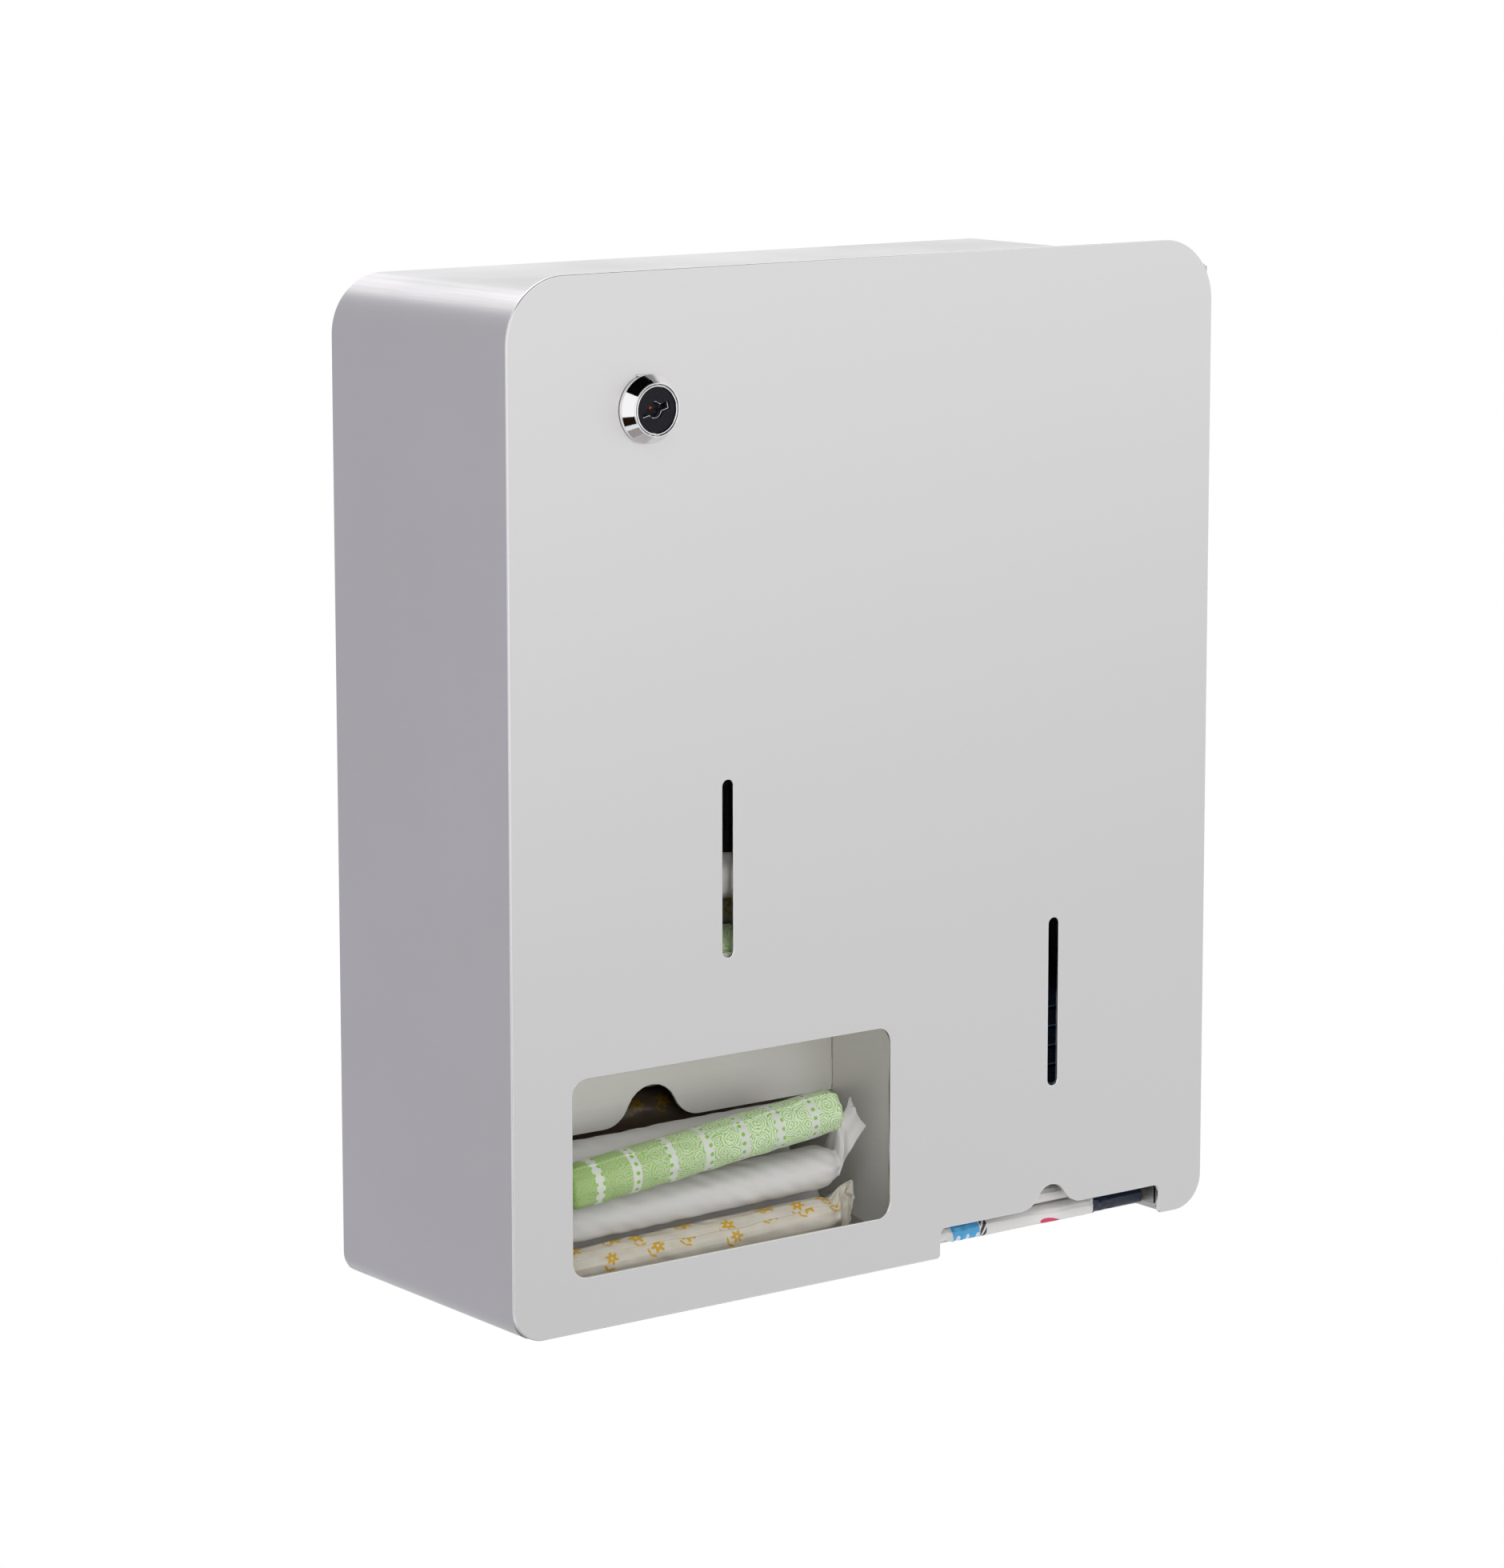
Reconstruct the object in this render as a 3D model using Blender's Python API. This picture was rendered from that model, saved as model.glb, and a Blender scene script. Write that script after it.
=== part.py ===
"""Wall-mounted tampon and pad dispenser in satin stainless sheet.

The frame is in metres: X to the right seen from the front, Y into the wall, Z up.
The origin is on the wall face of the back panel, on the centre lines of the door.
Sizes stand in one block for each group of pieces, and what follows from them is
worked out below the block that it follows from.
"""

import math

import bmesh
import bpy
from mathutils import Matrix, Vector

# Clearances and steps shared by all pieces
SEAT_GAP = 0.0003
CUT_OVERRUN = 0.002
ARC_STEPS = 8
BEND_STEPS = 4
ROUND_SEGMENTS = 32
SMALL_SEGMENTS = 16
SHARP_ANGLE = math.radians(35)
WELD_DISTANCE = 0.000001

# Door plate
DOOR_WIDTH = 0.300
DOOR_HEIGHT = 0.350
DOOR_THICKNESS = 0.0012
DOOR_TOP_RADIUS = 0.022
DOOR_BOTTOM_RADIUS = 0.012
DOOR_GAP = 0.0006

# How far the door reaches past the case on each side
OVERHANG_LEFT = 0.0012
OVERHANG_RIGHT = 0.004
OVERHANG_TOP = 0.0055
OVERHANG_BOTTOM = 0.0005

# Case
CASE_DEPTH = 0.104
CASE_SHEET = 0.001
CASE_TOP_RADIUS = 0.020
CASE_BOTTOM_RADIUS = 0.005
CASE_FOOT_FLANGE = 0.014
CASE_LIP_WIDTH = 0.010
CASE_LIP_START = 0.014
CASE_LIP_END = 0.030
BACK_FLANGE_DEPTH = 0.010

# Keyholes in the back panel
KEYHOLE_HEAD_RADIUS = 0.005
KEYHOLE_SLOT_RADIUS = 0.0025
KEYHOLE_RISE = 0.012
KEYHOLE_FROM_SIDE = 0.030
KEYHOLE_FROM_TOP = 0.040
KEYHOLE_FROM_BOTTOM = 0.038

# Bottom panel
FLOOR_LIP_HEIGHT = 0.008
PAD_CUTOUT_DEPTH = 0.0086
PAD_CUTOUT_MARGIN = 0.001

# Window in the door
WINDOW_LEFT_INSET = 0.0145
WINDOW_RIGHT_INSET = 0.0087
WINDOW_HEIGHT = 0.067
WINDOW_FROM_BOTTOM = 0.0185
WINDOW_RADIUS = 0.0055

# Bays: the pad bay fits its pads, and the tampon bay takes the width that is left
TAMPON_BAY_FROM_LEFT = 0.0093
PAD_BAY_FROM_RIGHT = 0.0196
PAD_SIDE_ROOM = 0.0028
BAY_SPACING = 0.0133
BAY_SHEET = 0.001
BAY_BEND_RADIUS = 0.001
BAY_HEIGHT = 0.242
BAY_FRONT_INSET = 0.0013
BAY_BACK_FLANGE = 0.009
BAY_FRONT_FLANGE = 0.009
PAD_FLANGE_START = 0.022

# Viewing slots in the door
SLOT_LENGTH = 0.0602
SLOT_WIDTH = 0.0044
TAMPON_SLOT_FROM_BOTTOM = 0.149
PAD_SLOT_FROM_BOTTOM = 0.0846

# Notch at the foot of the door where a pad is drawn out
NOTCH_SIDE_ROOM = 0.0023
NOTCH_HEIGHT = 0.0105
NOTCH_INNER_RADIUS = 0.0025
NOTCH_OUTER_RADIUS = 0.0015
THUMB_HEIGHT = 0.008
THUMB_DOME_RADIUS = 0.0065
THUMB_HALF_WIDTH = 0.014

# Baffle that makes the recess behind the window
BAFFLE_DEPTH = 0.044
BAFFLE_FOOT = 0.054
BAFFLE_RAMP_FRONT = 0.1115
BAFFLE_RAMP_DROP = 0.008
BAFFLE_LIP_HEIGHT = 0.008
BAFFLE_TAB_HEIGHT = 0.010
BAFFLE_TAB_FROM_FOOT = 0.0015
FINGER_HEIGHT = 0.013
FINGER_DOME_RADIUS = 0.011
FINGER_HALF_WIDTH = 0.020

# Tray floor under the tampons
TRAY_FRONT_INSET = 0.0021
TRAY_LIP_HEIGHT = 0.0085
TRAY_FRONT_RISE = 0.0055
TRAY_BACK_RISE = 0.0225
TRAY_BACK_INSET = 0.004
TRAY_BACK_FLANGE = 0.008

# Piano hinge
KNUCKLE_RADIUS = 0.0018
LEAF_SHEET = 0.0008
LEAF_WIDTH = 0.014
PIN_RADIUS = 0.0009
HINGE_FROM_BOTTOM = 0.020
HINGE_FROM_TOP = 0.010
KNUCKLE_COUNT = 13
KNUCKLE_GAP = 0.0004
KNUCKLE_CLEARANCE = 0.0004
KNUCKLE_OVERLAP = 0.001
CURL_ANGLE = math.radians(300)
PIN_OVERHANG = 0.0005

# Rivets through the case leaf and studs on the door
FASTENER_COUNT = 3
FASTENER_FROM_PIN = 0.009
FASTENER_FROM_END = 0.040
RIVET_RADIUS = 0.0014
RIVET_HEAD_RADIUS = 0.0026
RIVET_HEAD_HEIGHT = 0.0010
RIVET_DOME_SHARE = 0.55
RIVET_EDGE_SHARE = 0.4
RIVET_TAIL_RADIUS = 0.0021
RIVET_TAIL_HEIGHT = 0.0012
STUD_RADIUS = 0.0015
STUD_LENGTH = 0.0046
STUD_ROOT = 0.0006
NUT_ACROSS_FLATS = 0.0055
NUT_HEIGHT = 0.0024

# Cam lock
LOCK_FROM_LEFT = 0.055
LOCK_FROM_TOP = 0.045
BEZEL_RADIUS = 0.01135
BEZEL_RIM = 0.0007
BEZEL_RIM_CHAMFER = 0.0004
BEZEL_HEIGHT = 0.0058
BEZEL_FRONT_RADIUS = 0.0092
BEZEL_FRONT_CHAMFER = 0.0004
BARREL_RADIUS = 0.0093
BARREL_LENGTH = 0.016
BARREL_BORE_RADIUS = 0.0068
COUNTERBORE_RADIUS = 0.0084
COUNTERBORE_DEPTH = 0.0030
LOCK_NUT_ACROSS_FLATS = 0.024
LOCK_NUT_HEIGHT = 0.0035
PLUG_CLEARANCE = 0.0002
PLUG_RECESS_RADIUS = 0.0070
PLUG_RECESS_DEPTH = 0.0015
PLUG_RIM_CHAMFER = 0.0003
TAIL_SIDE = 0.0070
TAIL_ROOT = 0.001
SCREW_HOLE_RADIUS = 0.0020
SCREW_HOLE_DEPTH = 0.008
DISC_THICKNESS = 0.0011
KEYWAY_RADIUS = 0.0024
KEYWAY_LENGTH = 0.0106
KEYWAY_WIDTH = 0.0024
KEYWAY_DEPTH = 0.010
KEYWAY_TILT = math.radians(15)
CAM_THICKNESS = 0.0015
CAM_REACH = 0.047
CAM_TAIL = 0.010
CAM_HALF_WIDTH = 0.008
WASHER_RADIUS = 0.006
WASHER_THICKNESS = 0.0008
SCREW_RADIUS = 0.0017
SCREW_HEAD_RADIUS = 0.0040
SCREW_HEAD_HEIGHT = 0.0022
SCREW_HEAD_CHAMFER = 0.0006
SCREW_REACH = 0.006

# Strike that the cam turns behind
STRIKE_SHEET = 0.0012
STRIKE_HEIGHT = 0.030
STRIKE_WIDTH = 0.0145
STRIKE_WELD_LENGTH = 0.011
STRIKE_BEND_RADIUS = 0.0012

# Pads
PAD_COUNT = 12
PAD_WIDTH = 0.096
PAD_LENGTH = 0.088
PAD_THICKNESS = 0.0066
BOTTOM_PAD_THICKNESS = 0.005
PAD_SPACING = 0.0004
PAD_FRONT_INSET = 0.0102
PAD_EDGE_RADIUS = 0.0026
PAD_EDGE_SHARE = 0.48
PAD_EDGE_STEPS = 2
BEVEL_PROFILE_SHARE = 0.5

# Tampons
TAMPON_RADIUS = 0.00825
TAMPON_LENGTH = 0.116
TAMPON_END_RADIUS = 0.0055
TAMPON_SPACING = 0.0003
LEFT_ROOM_SHARE = 0.385
FLOOR_ROW_COUNT = 5
RAMP_ROW_COUNT = 2
TILT_ROOM = 0.0003
TOP_TAMPON_TILT = math.radians(5.5)
FRONT_TILT = math.radians(1.2)
TAMPON_ROUND_STEPS = 3
TAMPON_SEGMENTS = 14
TORN_TAMPON = 6
TORN_END_SHARE = 0.4
SHIFT_SHARES = (0.0, 0.14, -0.12, 0.09, 0.0, 0.0, -0.06, 0.17, 0.06,
                0.0, -0.09, 0.14, 0.0, 0.12, 0.23, 0.09)

# Planes and edges that follow from the sizes above
DOOR_LEFT = -DOOR_WIDTH / 2
DOOR_RIGHT = DOOR_WIDTH / 2
DOOR_TOP = DOOR_HEIGHT / 2
DOOR_BOTTOM = -DOOR_HEIGHT / 2
CASE_FRONT = -CASE_DEPTH
DOOR_BACK = CASE_FRONT - DOOR_GAP
DOOR_FRONT = DOOR_BACK - DOOR_THICKNESS
CASE_LEFT = DOOR_LEFT + OVERHANG_LEFT
CASE_RIGHT = DOOR_RIGHT - OVERHANG_RIGHT
CASE_TOP = DOOR_TOP - OVERHANG_TOP
CASE_BOTTOM = DOOR_BOTTOM + OVERHANG_BOTTOM
PAN_LEFT = CASE_LEFT + CASE_SHEET + SEAT_GAP
PAN_RIGHT = CASE_RIGHT - CASE_SHEET - SEAT_GAP
PAN_TOP = CASE_TOP - CASE_SHEET - SEAT_GAP
PAN_BOTTOM = CASE_BOTTOM + CASE_SHEET + SEAT_GAP
PANEL_TOP = PAN_BOTTOM + CASE_SHEET
PANEL_BACK = -BACK_FLANGE_DEPTH - SEAT_GAP
PAD_BAY_RIGHT = DOOR_RIGHT - PAD_BAY_FROM_RIGHT
PAD_BAY_LEFT = PAD_BAY_RIGHT - PAD_WIDTH - 2 * PAD_SIDE_ROOM
PAD_CENTRE = (PAD_BAY_LEFT + PAD_BAY_RIGHT) / 2
NOTCH_LEFT = PAD_CENTRE - PAD_WIDTH / 2 - NOTCH_SIDE_ROOM
NOTCH_RIGHT = PAD_CENTRE + PAD_WIDTH / 2 + NOTCH_SIDE_ROOM
TAMPON_BAY_LEFT = DOOR_LEFT + TAMPON_BAY_FROM_LEFT
TAMPON_BAY_RIGHT = PAD_BAY_LEFT - BAY_SPACING
TAMPON_CENTRE = (TAMPON_BAY_LEFT + TAMPON_BAY_RIGHT) / 2
TAMPON_ROOM = TAMPON_BAY_RIGHT - TAMPON_BAY_LEFT - TAMPON_LENGTH
BAY_BOTTOM = PANEL_TOP + SEAT_GAP
BAY_FRONT = CASE_FRONT + BAY_FRONT_INSET
BAY_BACK = -CASE_SHEET - SEAT_GAP
BAFFLE_FRONT = DOOR_FRONT + BAFFLE_DEPTH
BAFFLE_BOTTOM = DOOR_BOTTOM + BAFFLE_FOOT
RAMP_FRONT_TOP = DOOR_BOTTOM + BAFFLE_RAMP_FRONT
PIN_X = CASE_RIGHT + SEAT_GAP + KNUCKLE_RADIUS
PIN_Y = DOOR_BACK + SEAT_GAP + KNUCKLE_RADIUS
HINGE_BOTTOM = DOOR_BOTTOM + HINGE_FROM_BOTTOM
HINGE_TOP = DOOR_TOP - HINGE_FROM_TOP
LOCK_X = DOOR_LEFT + LOCK_FROM_LEFT
LOCK_Z = DOOR_TOP - LOCK_FROM_TOP
CAM_FRONT = DOOR_FRONT + BARREL_LENGTH + SEAT_GAP

# Colours are linear values
STEEL_COLOUR = (0.62, 0.61, 0.61, 1.0)
CHROME_COLOUR = (0.78, 0.78, 0.80, 1.0)
BLACK_COLOUR = (0.012, 0.012, 0.016, 1.0)
PAD_COLOUR = (0.82, 0.79, 0.74, 1.0)
GREEN_COLOUR = (0.46, 0.70, 0.24, 1.0)
PAPER_COLOUR = (0.80, 0.79, 0.76, 1.0)


def material(name, colour, metallic, roughness):
    made = bpy.data.materials.new(name)
    made.use_nodes = True
    shader = made.node_tree.nodes["Principled BSDF"]
    shader.inputs["Base Color"].default_value = colour
    shader.inputs["Metallic"].default_value = metallic
    shader.inputs["Roughness"].default_value = roughness
    return made


def clear_scene():
    for old in list(bpy.data.objects):
        bpy.data.objects.remove(old, do_unlink=True)


def to_object(name, mesh_data, finish):
    """Turn a bmesh into a linked object with its faces pointing out."""
    bmesh.ops.recalc_face_normals(mesh_data, faces=mesh_data.faces)
    mesh = bpy.data.meshes.new(name)
    mesh_data.to_mesh(mesh)
    mesh_data.free()
    made = bpy.data.objects.new(name, mesh)
    bpy.context.scene.collection.objects.link(made)
    if finish:
        mesh.materials.append(finish)
    mesh.shade_smooth()
    mesh.set_sharp_from_angle(angle=SHARP_ANGLE)
    return made


# Outlines

def arc(centre, radius, start, end, steps=ARC_STEPS):
    """Points on a circle from one angle to another, both ends included."""
    turns = [start + (end - start) * step / steps for step in range(steps + 1)]
    return [Vector((centre[0] + radius * math.cos(t), centre[1] + radius * math.sin(t))) for t in turns]


def circle(centre, radius, segments=ROUND_SEGMENTS):
    return arc(centre, radius, 0, math.tau, segments)[:-1]


def rounded_outline(corners, steps=ARC_STEPS):
    """A closed outline of (point, radius) corners, each turned into an arc tangent to its two sides."""
    outline = []
    for index, (point, radius) in enumerate(corners):
        here = Vector(point)
        if not radius:
            outline.append(here)
            continue
        before = (here - Vector(corners[index - 1][0])).normalized()
        after = (Vector(corners[(index + 1) % len(corners)][0]) - here).normalized()
        turn = before.angle_signed(after) * -1
        side = math.copysign(1, turn)
        normal = Vector((-before.y, before.x)) * side
        centre = here - before * radius * math.tan(abs(turn) / 2) + normal * radius
        start = math.atan2(-normal.y, -normal.x)
        outline += arc(centre, radius, start, start + turn, steps)
    return outline


def rectangle(low, high, radius=0):
    corners = [(low[0], low[1]), (high[0], low[1]), (high[0], high[1]), (low[0], high[1])]
    return rounded_outline([(corner, radius) for corner in corners])


def bent_sheet(corners, radii, thickness, steps=BEND_STEPS):
    """Outline of a bent sheet whose middle line turns each inner corner on its radius."""
    points = [Vector(corner) for corner in corners]
    half = thickness / 2
    left, right = [], []
    for index, point in enumerate(points):
        if index in (0, len(points) - 1):
            along = points[1] - points[0] if index == 0 else points[-1] - points[-2]
            along.normalize()
            normal = Vector((-along.y, along.x))
            left.append(point + normal * half)
            right.append(point - normal * half)
            continue
        radius = radii[index - 1]
        before = (point - points[index - 1]).normalized()
        after = (points[index + 1] - point).normalized()
        turn = before.angle_signed(after) * -1
        side = math.copysign(1, turn)
        normal = Vector((-before.y, before.x))
        centre = point - before * radius * math.tan(abs(turn) / 2) + normal * side * radius
        for step in range(steps + 1):
            turned_normal = normal.copy()
            turned_normal.rotate(Matrix.Rotation(turn * step / steps, 2))
            middle = centre - turned_normal * side * radius
            left.append(middle + turned_normal * half)
            right.append(middle - turned_normal * half)
    return left + right[::-1]


def bell(centre, base, height, dome_radius, half_width):
    """A finger scallop: a dome that runs into the straight edge on two arcs tangent to both."""
    rise = height - dome_radius
    foot_radius = (half_width**2 + rise**2 - dome_radius**2) / (2 * height)
    lean = math.atan2(rise - foot_radius, half_width)
    left_foot = arc((centre - half_width, base + foot_radius), foot_radius, -math.pi / 2, lean)
    dome = arc((centre, base + rise), dome_radius, math.pi + lean, -lean)
    right_foot = arc((centre + half_width, base + foot_radius), foot_radius, math.pi - lean, math.pi * 3 / 2)
    return left_foot + dome[1:-1] + right_foot


# Solids

PLANE_AXES = {
    "XZ": lambda a, b, c: (a, c, b),
    "XY": lambda a, b, c: (a, b, c),
    "YZ": lambda a, b, c: (c, a, b),
}


def add_prism(mesh_data, outline, plane, low, high):
    """Sweep a closed outline in a plane along the third axis, from low to high."""
    place = PLANE_AXES[plane]
    near = [mesh_data.verts.new(place(point[0], point[1], low)) for point in outline]
    far = [mesh_data.verts.new(place(point[0], point[1], high)) for point in outline]
    mesh_data.faces.new(near)
    mesh_data.faces.new(far[::-1])
    for index in range(len(outline)):
        after = (index + 1) % len(outline)
        mesh_data.faces.new((near[index], far[index], far[after], near[after]))


def prism(name, outline, plane, low, high, finish=None):
    mesh_data = bmesh.new()
    add_prism(mesh_data, outline, plane, low, high)
    return to_object(name, mesh_data, finish)


def block(name, low, high, finish=None):
    return prism(name, rectangle(low[:2], high[:2]), "XY", low[2], high[2], finish)


def turned(name, profile, centre, axis, finish=None, segments=ROUND_SEGMENTS):
    """Turn a closed (radius, distance) profile about an axis through the centre point."""
    along = Vector(axis)
    across = along.orthogonal().normalized()
    mesh_data = bmesh.new()
    ring = [mesh_data.verts.new(Vector(centre) + across * radius + along * run) for radius, run in profile]
    edges = [mesh_data.edges.new((ring[i - 1], ring[i])) for i in range(len(ring))]
    bmesh.ops.spin(mesh_data, geom=ring + edges, cent=centre, axis=along, angle=math.tau,
                   steps=segments, use_merge=True)
    bmesh.ops.remove_doubles(mesh_data, verts=mesh_data.verts, dist=WELD_DISTANCE)
    bmesh.ops.dissolve_degenerate(mesh_data, dist=WELD_DISTANCE, edges=mesh_data.edges)
    return to_object(name, mesh_data, finish)


def combine(target, other, operation):
    step = target.modifiers.new(other.name, "BOOLEAN")
    step.object = other
    step.operation = operation
    step.solver = "EXACT"
    other.hide_render = True
    other.display_type = "WIRE"


def cut(target, *cutters):
    for cutter in cutters:
        combine(target, cutter, "DIFFERENCE")


def fuse(target, *others):
    for other in others:
        combine(target, other, "UNION")


# Joint axes

axis_places = {}


def joint_axis(name, place, parent=None):
    """An empty on a joint's axis, which the pieces that move with the joint hang on."""
    empty = bpy.data.objects.new(name, None)
    bpy.context.scene.collection.objects.link(empty)
    empty.location = Vector(place) - axis_places.get(parent, Vector())
    if parent:
        empty.parent = bpy.data.objects[parent]
    axis_places[name] = Vector(place)
    return name


def hang(piece, axis_name):
    """Put a piece's origin on the joint axis and make it move with the axis's empty."""
    place = axis_places[axis_name]
    piece.data.transform(Matrix.Translation(-place))
    piece.parent = bpy.data.objects[axis_name]


# Case

def case_wrap(steel):
    """Top and sides in one sheet, with feet turned in below and a lip turned in at the front."""
    half = CASE_SHEET / 2
    left, right = CASE_LEFT + half, CASE_RIGHT - half
    top, bottom = CASE_TOP - half, CASE_BOTTOM + half
    corners = [(left + CASE_FOOT_FLANGE, bottom), (left, bottom), (left, top),
               (right, top), (right, bottom), (right - CASE_FOOT_FLANGE, bottom)]
    radii = [CASE_BOTTOM_RADIUS - half, CASE_TOP_RADIUS - half, CASE_TOP_RADIUS - half,
             CASE_BOTTOM_RADIUS - half]
    outline = bent_sheet(corners, radii, CASE_SHEET, ARC_STEPS)
    wrap = prism("case_wrap", outline, "XZ", CASE_FRONT, 0, steel)
    lip_middle = half + CASE_LIP_WIDTH / 2
    lip_path = [(CASE_LEFT + lip_middle, CASE_BOTTOM + CASE_LIP_START),
                (CASE_LEFT + lip_middle, CASE_TOP - lip_middle),
                (CASE_RIGHT - CASE_LIP_END, CASE_TOP - lip_middle)]
    lip_outline = bent_sheet(lip_path, [CASE_TOP_RADIUS - lip_middle], CASE_LIP_WIDTH, ARC_STEPS)
    lip = prism("case_lip", lip_outline, "XZ", CASE_FRONT, CASE_FRONT + CASE_SHEET)
    relief = block("leaf_relief",
                   (PIN_X - LEAF_WIDTH - CUT_OVERRUN, CASE_FRONT - CUT_OVERRUN, HINGE_BOTTOM - CUT_OVERRUN),
                   (CASE_RIGHT + CUT_OVERRUN, PIN_Y - KNUCKLE_RADIUS + LEAF_SHEET + SEAT_GAP,
                    HINGE_TOP + CUT_OVERRUN))
    fuse(wrap, lip)
    cut(wrap, relief, *fastener_cutters("wall_rivet_hole", case_fastener_axis, RIVET_RADIUS + SEAT_GAP))
    return wrap


def pan_outline(inset):
    top_radius = CASE_TOP_RADIUS - CASE_SHEET - SEAT_GAP - inset
    bottom_radius = CASE_BOTTOM_RADIUS - CASE_SHEET - SEAT_GAP - inset
    return rounded_outline([
        ((PAN_LEFT + inset, PAN_BOTTOM + inset), bottom_radius),
        ((PAN_RIGHT - inset, PAN_BOTTOM + inset), bottom_radius),
        ((PAN_RIGHT - inset, PAN_TOP - inset), top_radius),
        ((PAN_LEFT + inset, PAN_TOP - inset), top_radius),
    ])


def keyhole_outline(centre_x, centre_z):
    """A round hole for a screw head, with a slot above it for the screw's neck."""
    open_angle = math.asin(KEYHOLE_SLOT_RADIUS / KEYHOLE_HEAD_RADIUS)
    head = arc((centre_x, centre_z), KEYHOLE_HEAD_RADIUS, math.pi / 2 + open_angle,
               math.pi * 5 / 2 - open_angle, ARC_STEPS * 2)
    slot = arc((centre_x, centre_z + KEYHOLE_RISE), KEYHOLE_SLOT_RADIUS, 0, math.pi)
    return head + slot


def keyhole_centres():
    left = CASE_LEFT + KEYHOLE_FROM_SIDE
    right = CASE_RIGHT - KEYHOLE_FROM_SIDE
    high = CASE_TOP - KEYHOLE_FROM_TOP
    low = CASE_BOTTOM + KEYHOLE_FROM_BOTTOM
    return [(left, high), (right, high), (left, low), (right, low)]


def back_panel(steel):
    """A shallow pan: the flat sheet on the wall, with flanges turned forward all round."""
    pan = prism("back_panel", pan_outline(0), "XZ", -BACK_FLANGE_DEPTH, 0, steel)
    cut(pan, prism("pan_hollow", pan_outline(CASE_SHEET), "XZ",
                   -BACK_FLANGE_DEPTH - CUT_OVERRUN, -CASE_SHEET))
    for number, (x, z) in enumerate(keyhole_centres(), 1):
        cut(pan, prism(f"keyhole_{number}", keyhole_outline(x, z), "XZ",
                       -CASE_SHEET - CUT_OVERRUN, CUT_OVERRUN))
    return pan


def bottom_panel(steel):
    """The sheet that closes the case below, cut back in front of the pads for fingers."""
    half = CASE_SHEET / 2
    middle = PAN_BOTTOM + half
    profile = bent_sheet([(CASE_FRONT + half, PANEL_TOP + FLOOR_LIP_HEIGHT), (CASE_FRONT + half, middle),
                          (PANEL_BACK, middle)], [CASE_SHEET], CASE_SHEET)
    panel = prism("bottom_panel", profile, "YZ", CASE_LEFT + CASE_BOTTOM_RADIUS,
                  CASE_RIGHT - CASE_BOTTOM_RADIUS, steel)
    opening = block("pad_cutout",
                    (NOTCH_LEFT - PAD_CUTOUT_MARGIN, CASE_FRONT - CUT_OVERRUN, CASE_BOTTOM - CUT_OVERRUN),
                    (NOTCH_RIGHT + PAD_CUTOUT_MARGIN, CASE_FRONT + PAD_CUTOUT_DEPTH,
                     PANEL_TOP + FLOOR_LIP_HEIGHT + CUT_OVERRUN))
    cut(panel, opening)
    return panel


# Bays

def bay_plate(name, inner_face, side, back_turn, flange_start, steel):
    """An upright side plate of a bay. Its front flange turns into the bay and keeps the stack in."""
    half = BAY_SHEET / 2
    web = inner_face + side * half
    corners = [(web + side * back_turn * BAY_BACK_FLANGE, BAY_BACK - half), (web, BAY_BACK - half),
               (web, BAY_FRONT + half), (web - side * BAY_FRONT_FLANGE, BAY_FRONT + half)]
    profile = bent_sheet(corners, [BAY_BEND_RADIUS, BAY_BEND_RADIUS], BAY_SHEET)
    plate = prism(name, profile, "XY", BAY_BOTTOM, BAY_BOTTOM + BAY_HEIGHT, steel)
    ends = sorted((web - side * (BAY_FRONT_FLANGE + CUT_OVERRUN), inner_face))
    cut(plate, block(f"{name}_mouth",
                     (ends[0], BAY_FRONT - CUT_OVERRUN, BAY_BOTTOM - CUT_OVERRUN),
                     (ends[1], BAY_FRONT + BAY_SHEET + BAY_BEND_RADIUS, flange_start)))
    return plate


def tampon_plates(steel):
    """The two sides of the tampon bay, with a slot in each for the baffle's tab."""
    flange_start = RAMP_FRONT_TOP + BAFFLE_LIP_HEIGHT + SEAT_GAP
    plates = [bay_plate("tampon_left_plate", TAMPON_BAY_LEFT, -1, -1, flange_start, steel),
              bay_plate("tampon_right_plate", TAMPON_BAY_RIGHT, 1, 1, flange_start, steel)]
    tab_low = BAFFLE_BOTTOM + BAFFLE_TAB_FROM_FOOT
    for number, plate in enumerate(plates):
        outer = (TAMPON_BAY_LEFT - BAY_SHEET, TAMPON_BAY_RIGHT)[number]
        cut(plate, block(f"{plate.name}_tab_slot",
                         (outer - CUT_OVERRUN, BAFFLE_FRONT - SEAT_GAP, tab_low - SEAT_GAP),
                         (outer + BAY_SHEET + CUT_OVERRUN, BAFFLE_FRONT + BAY_SHEET + SEAT_GAP,
                          tab_low + BAFFLE_TAB_HEIGHT + SEAT_GAP)))


def pad_plates(steel):
    flange_start = BAY_BOTTOM + PAD_FLANGE_START
    bay_plate("pad_left_plate", PAD_BAY_LEFT, -1, -1, flange_start, steel)
    bay_plate("pad_right_plate", PAD_BAY_RIGHT, 1, -1, flange_start, steel)


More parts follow.
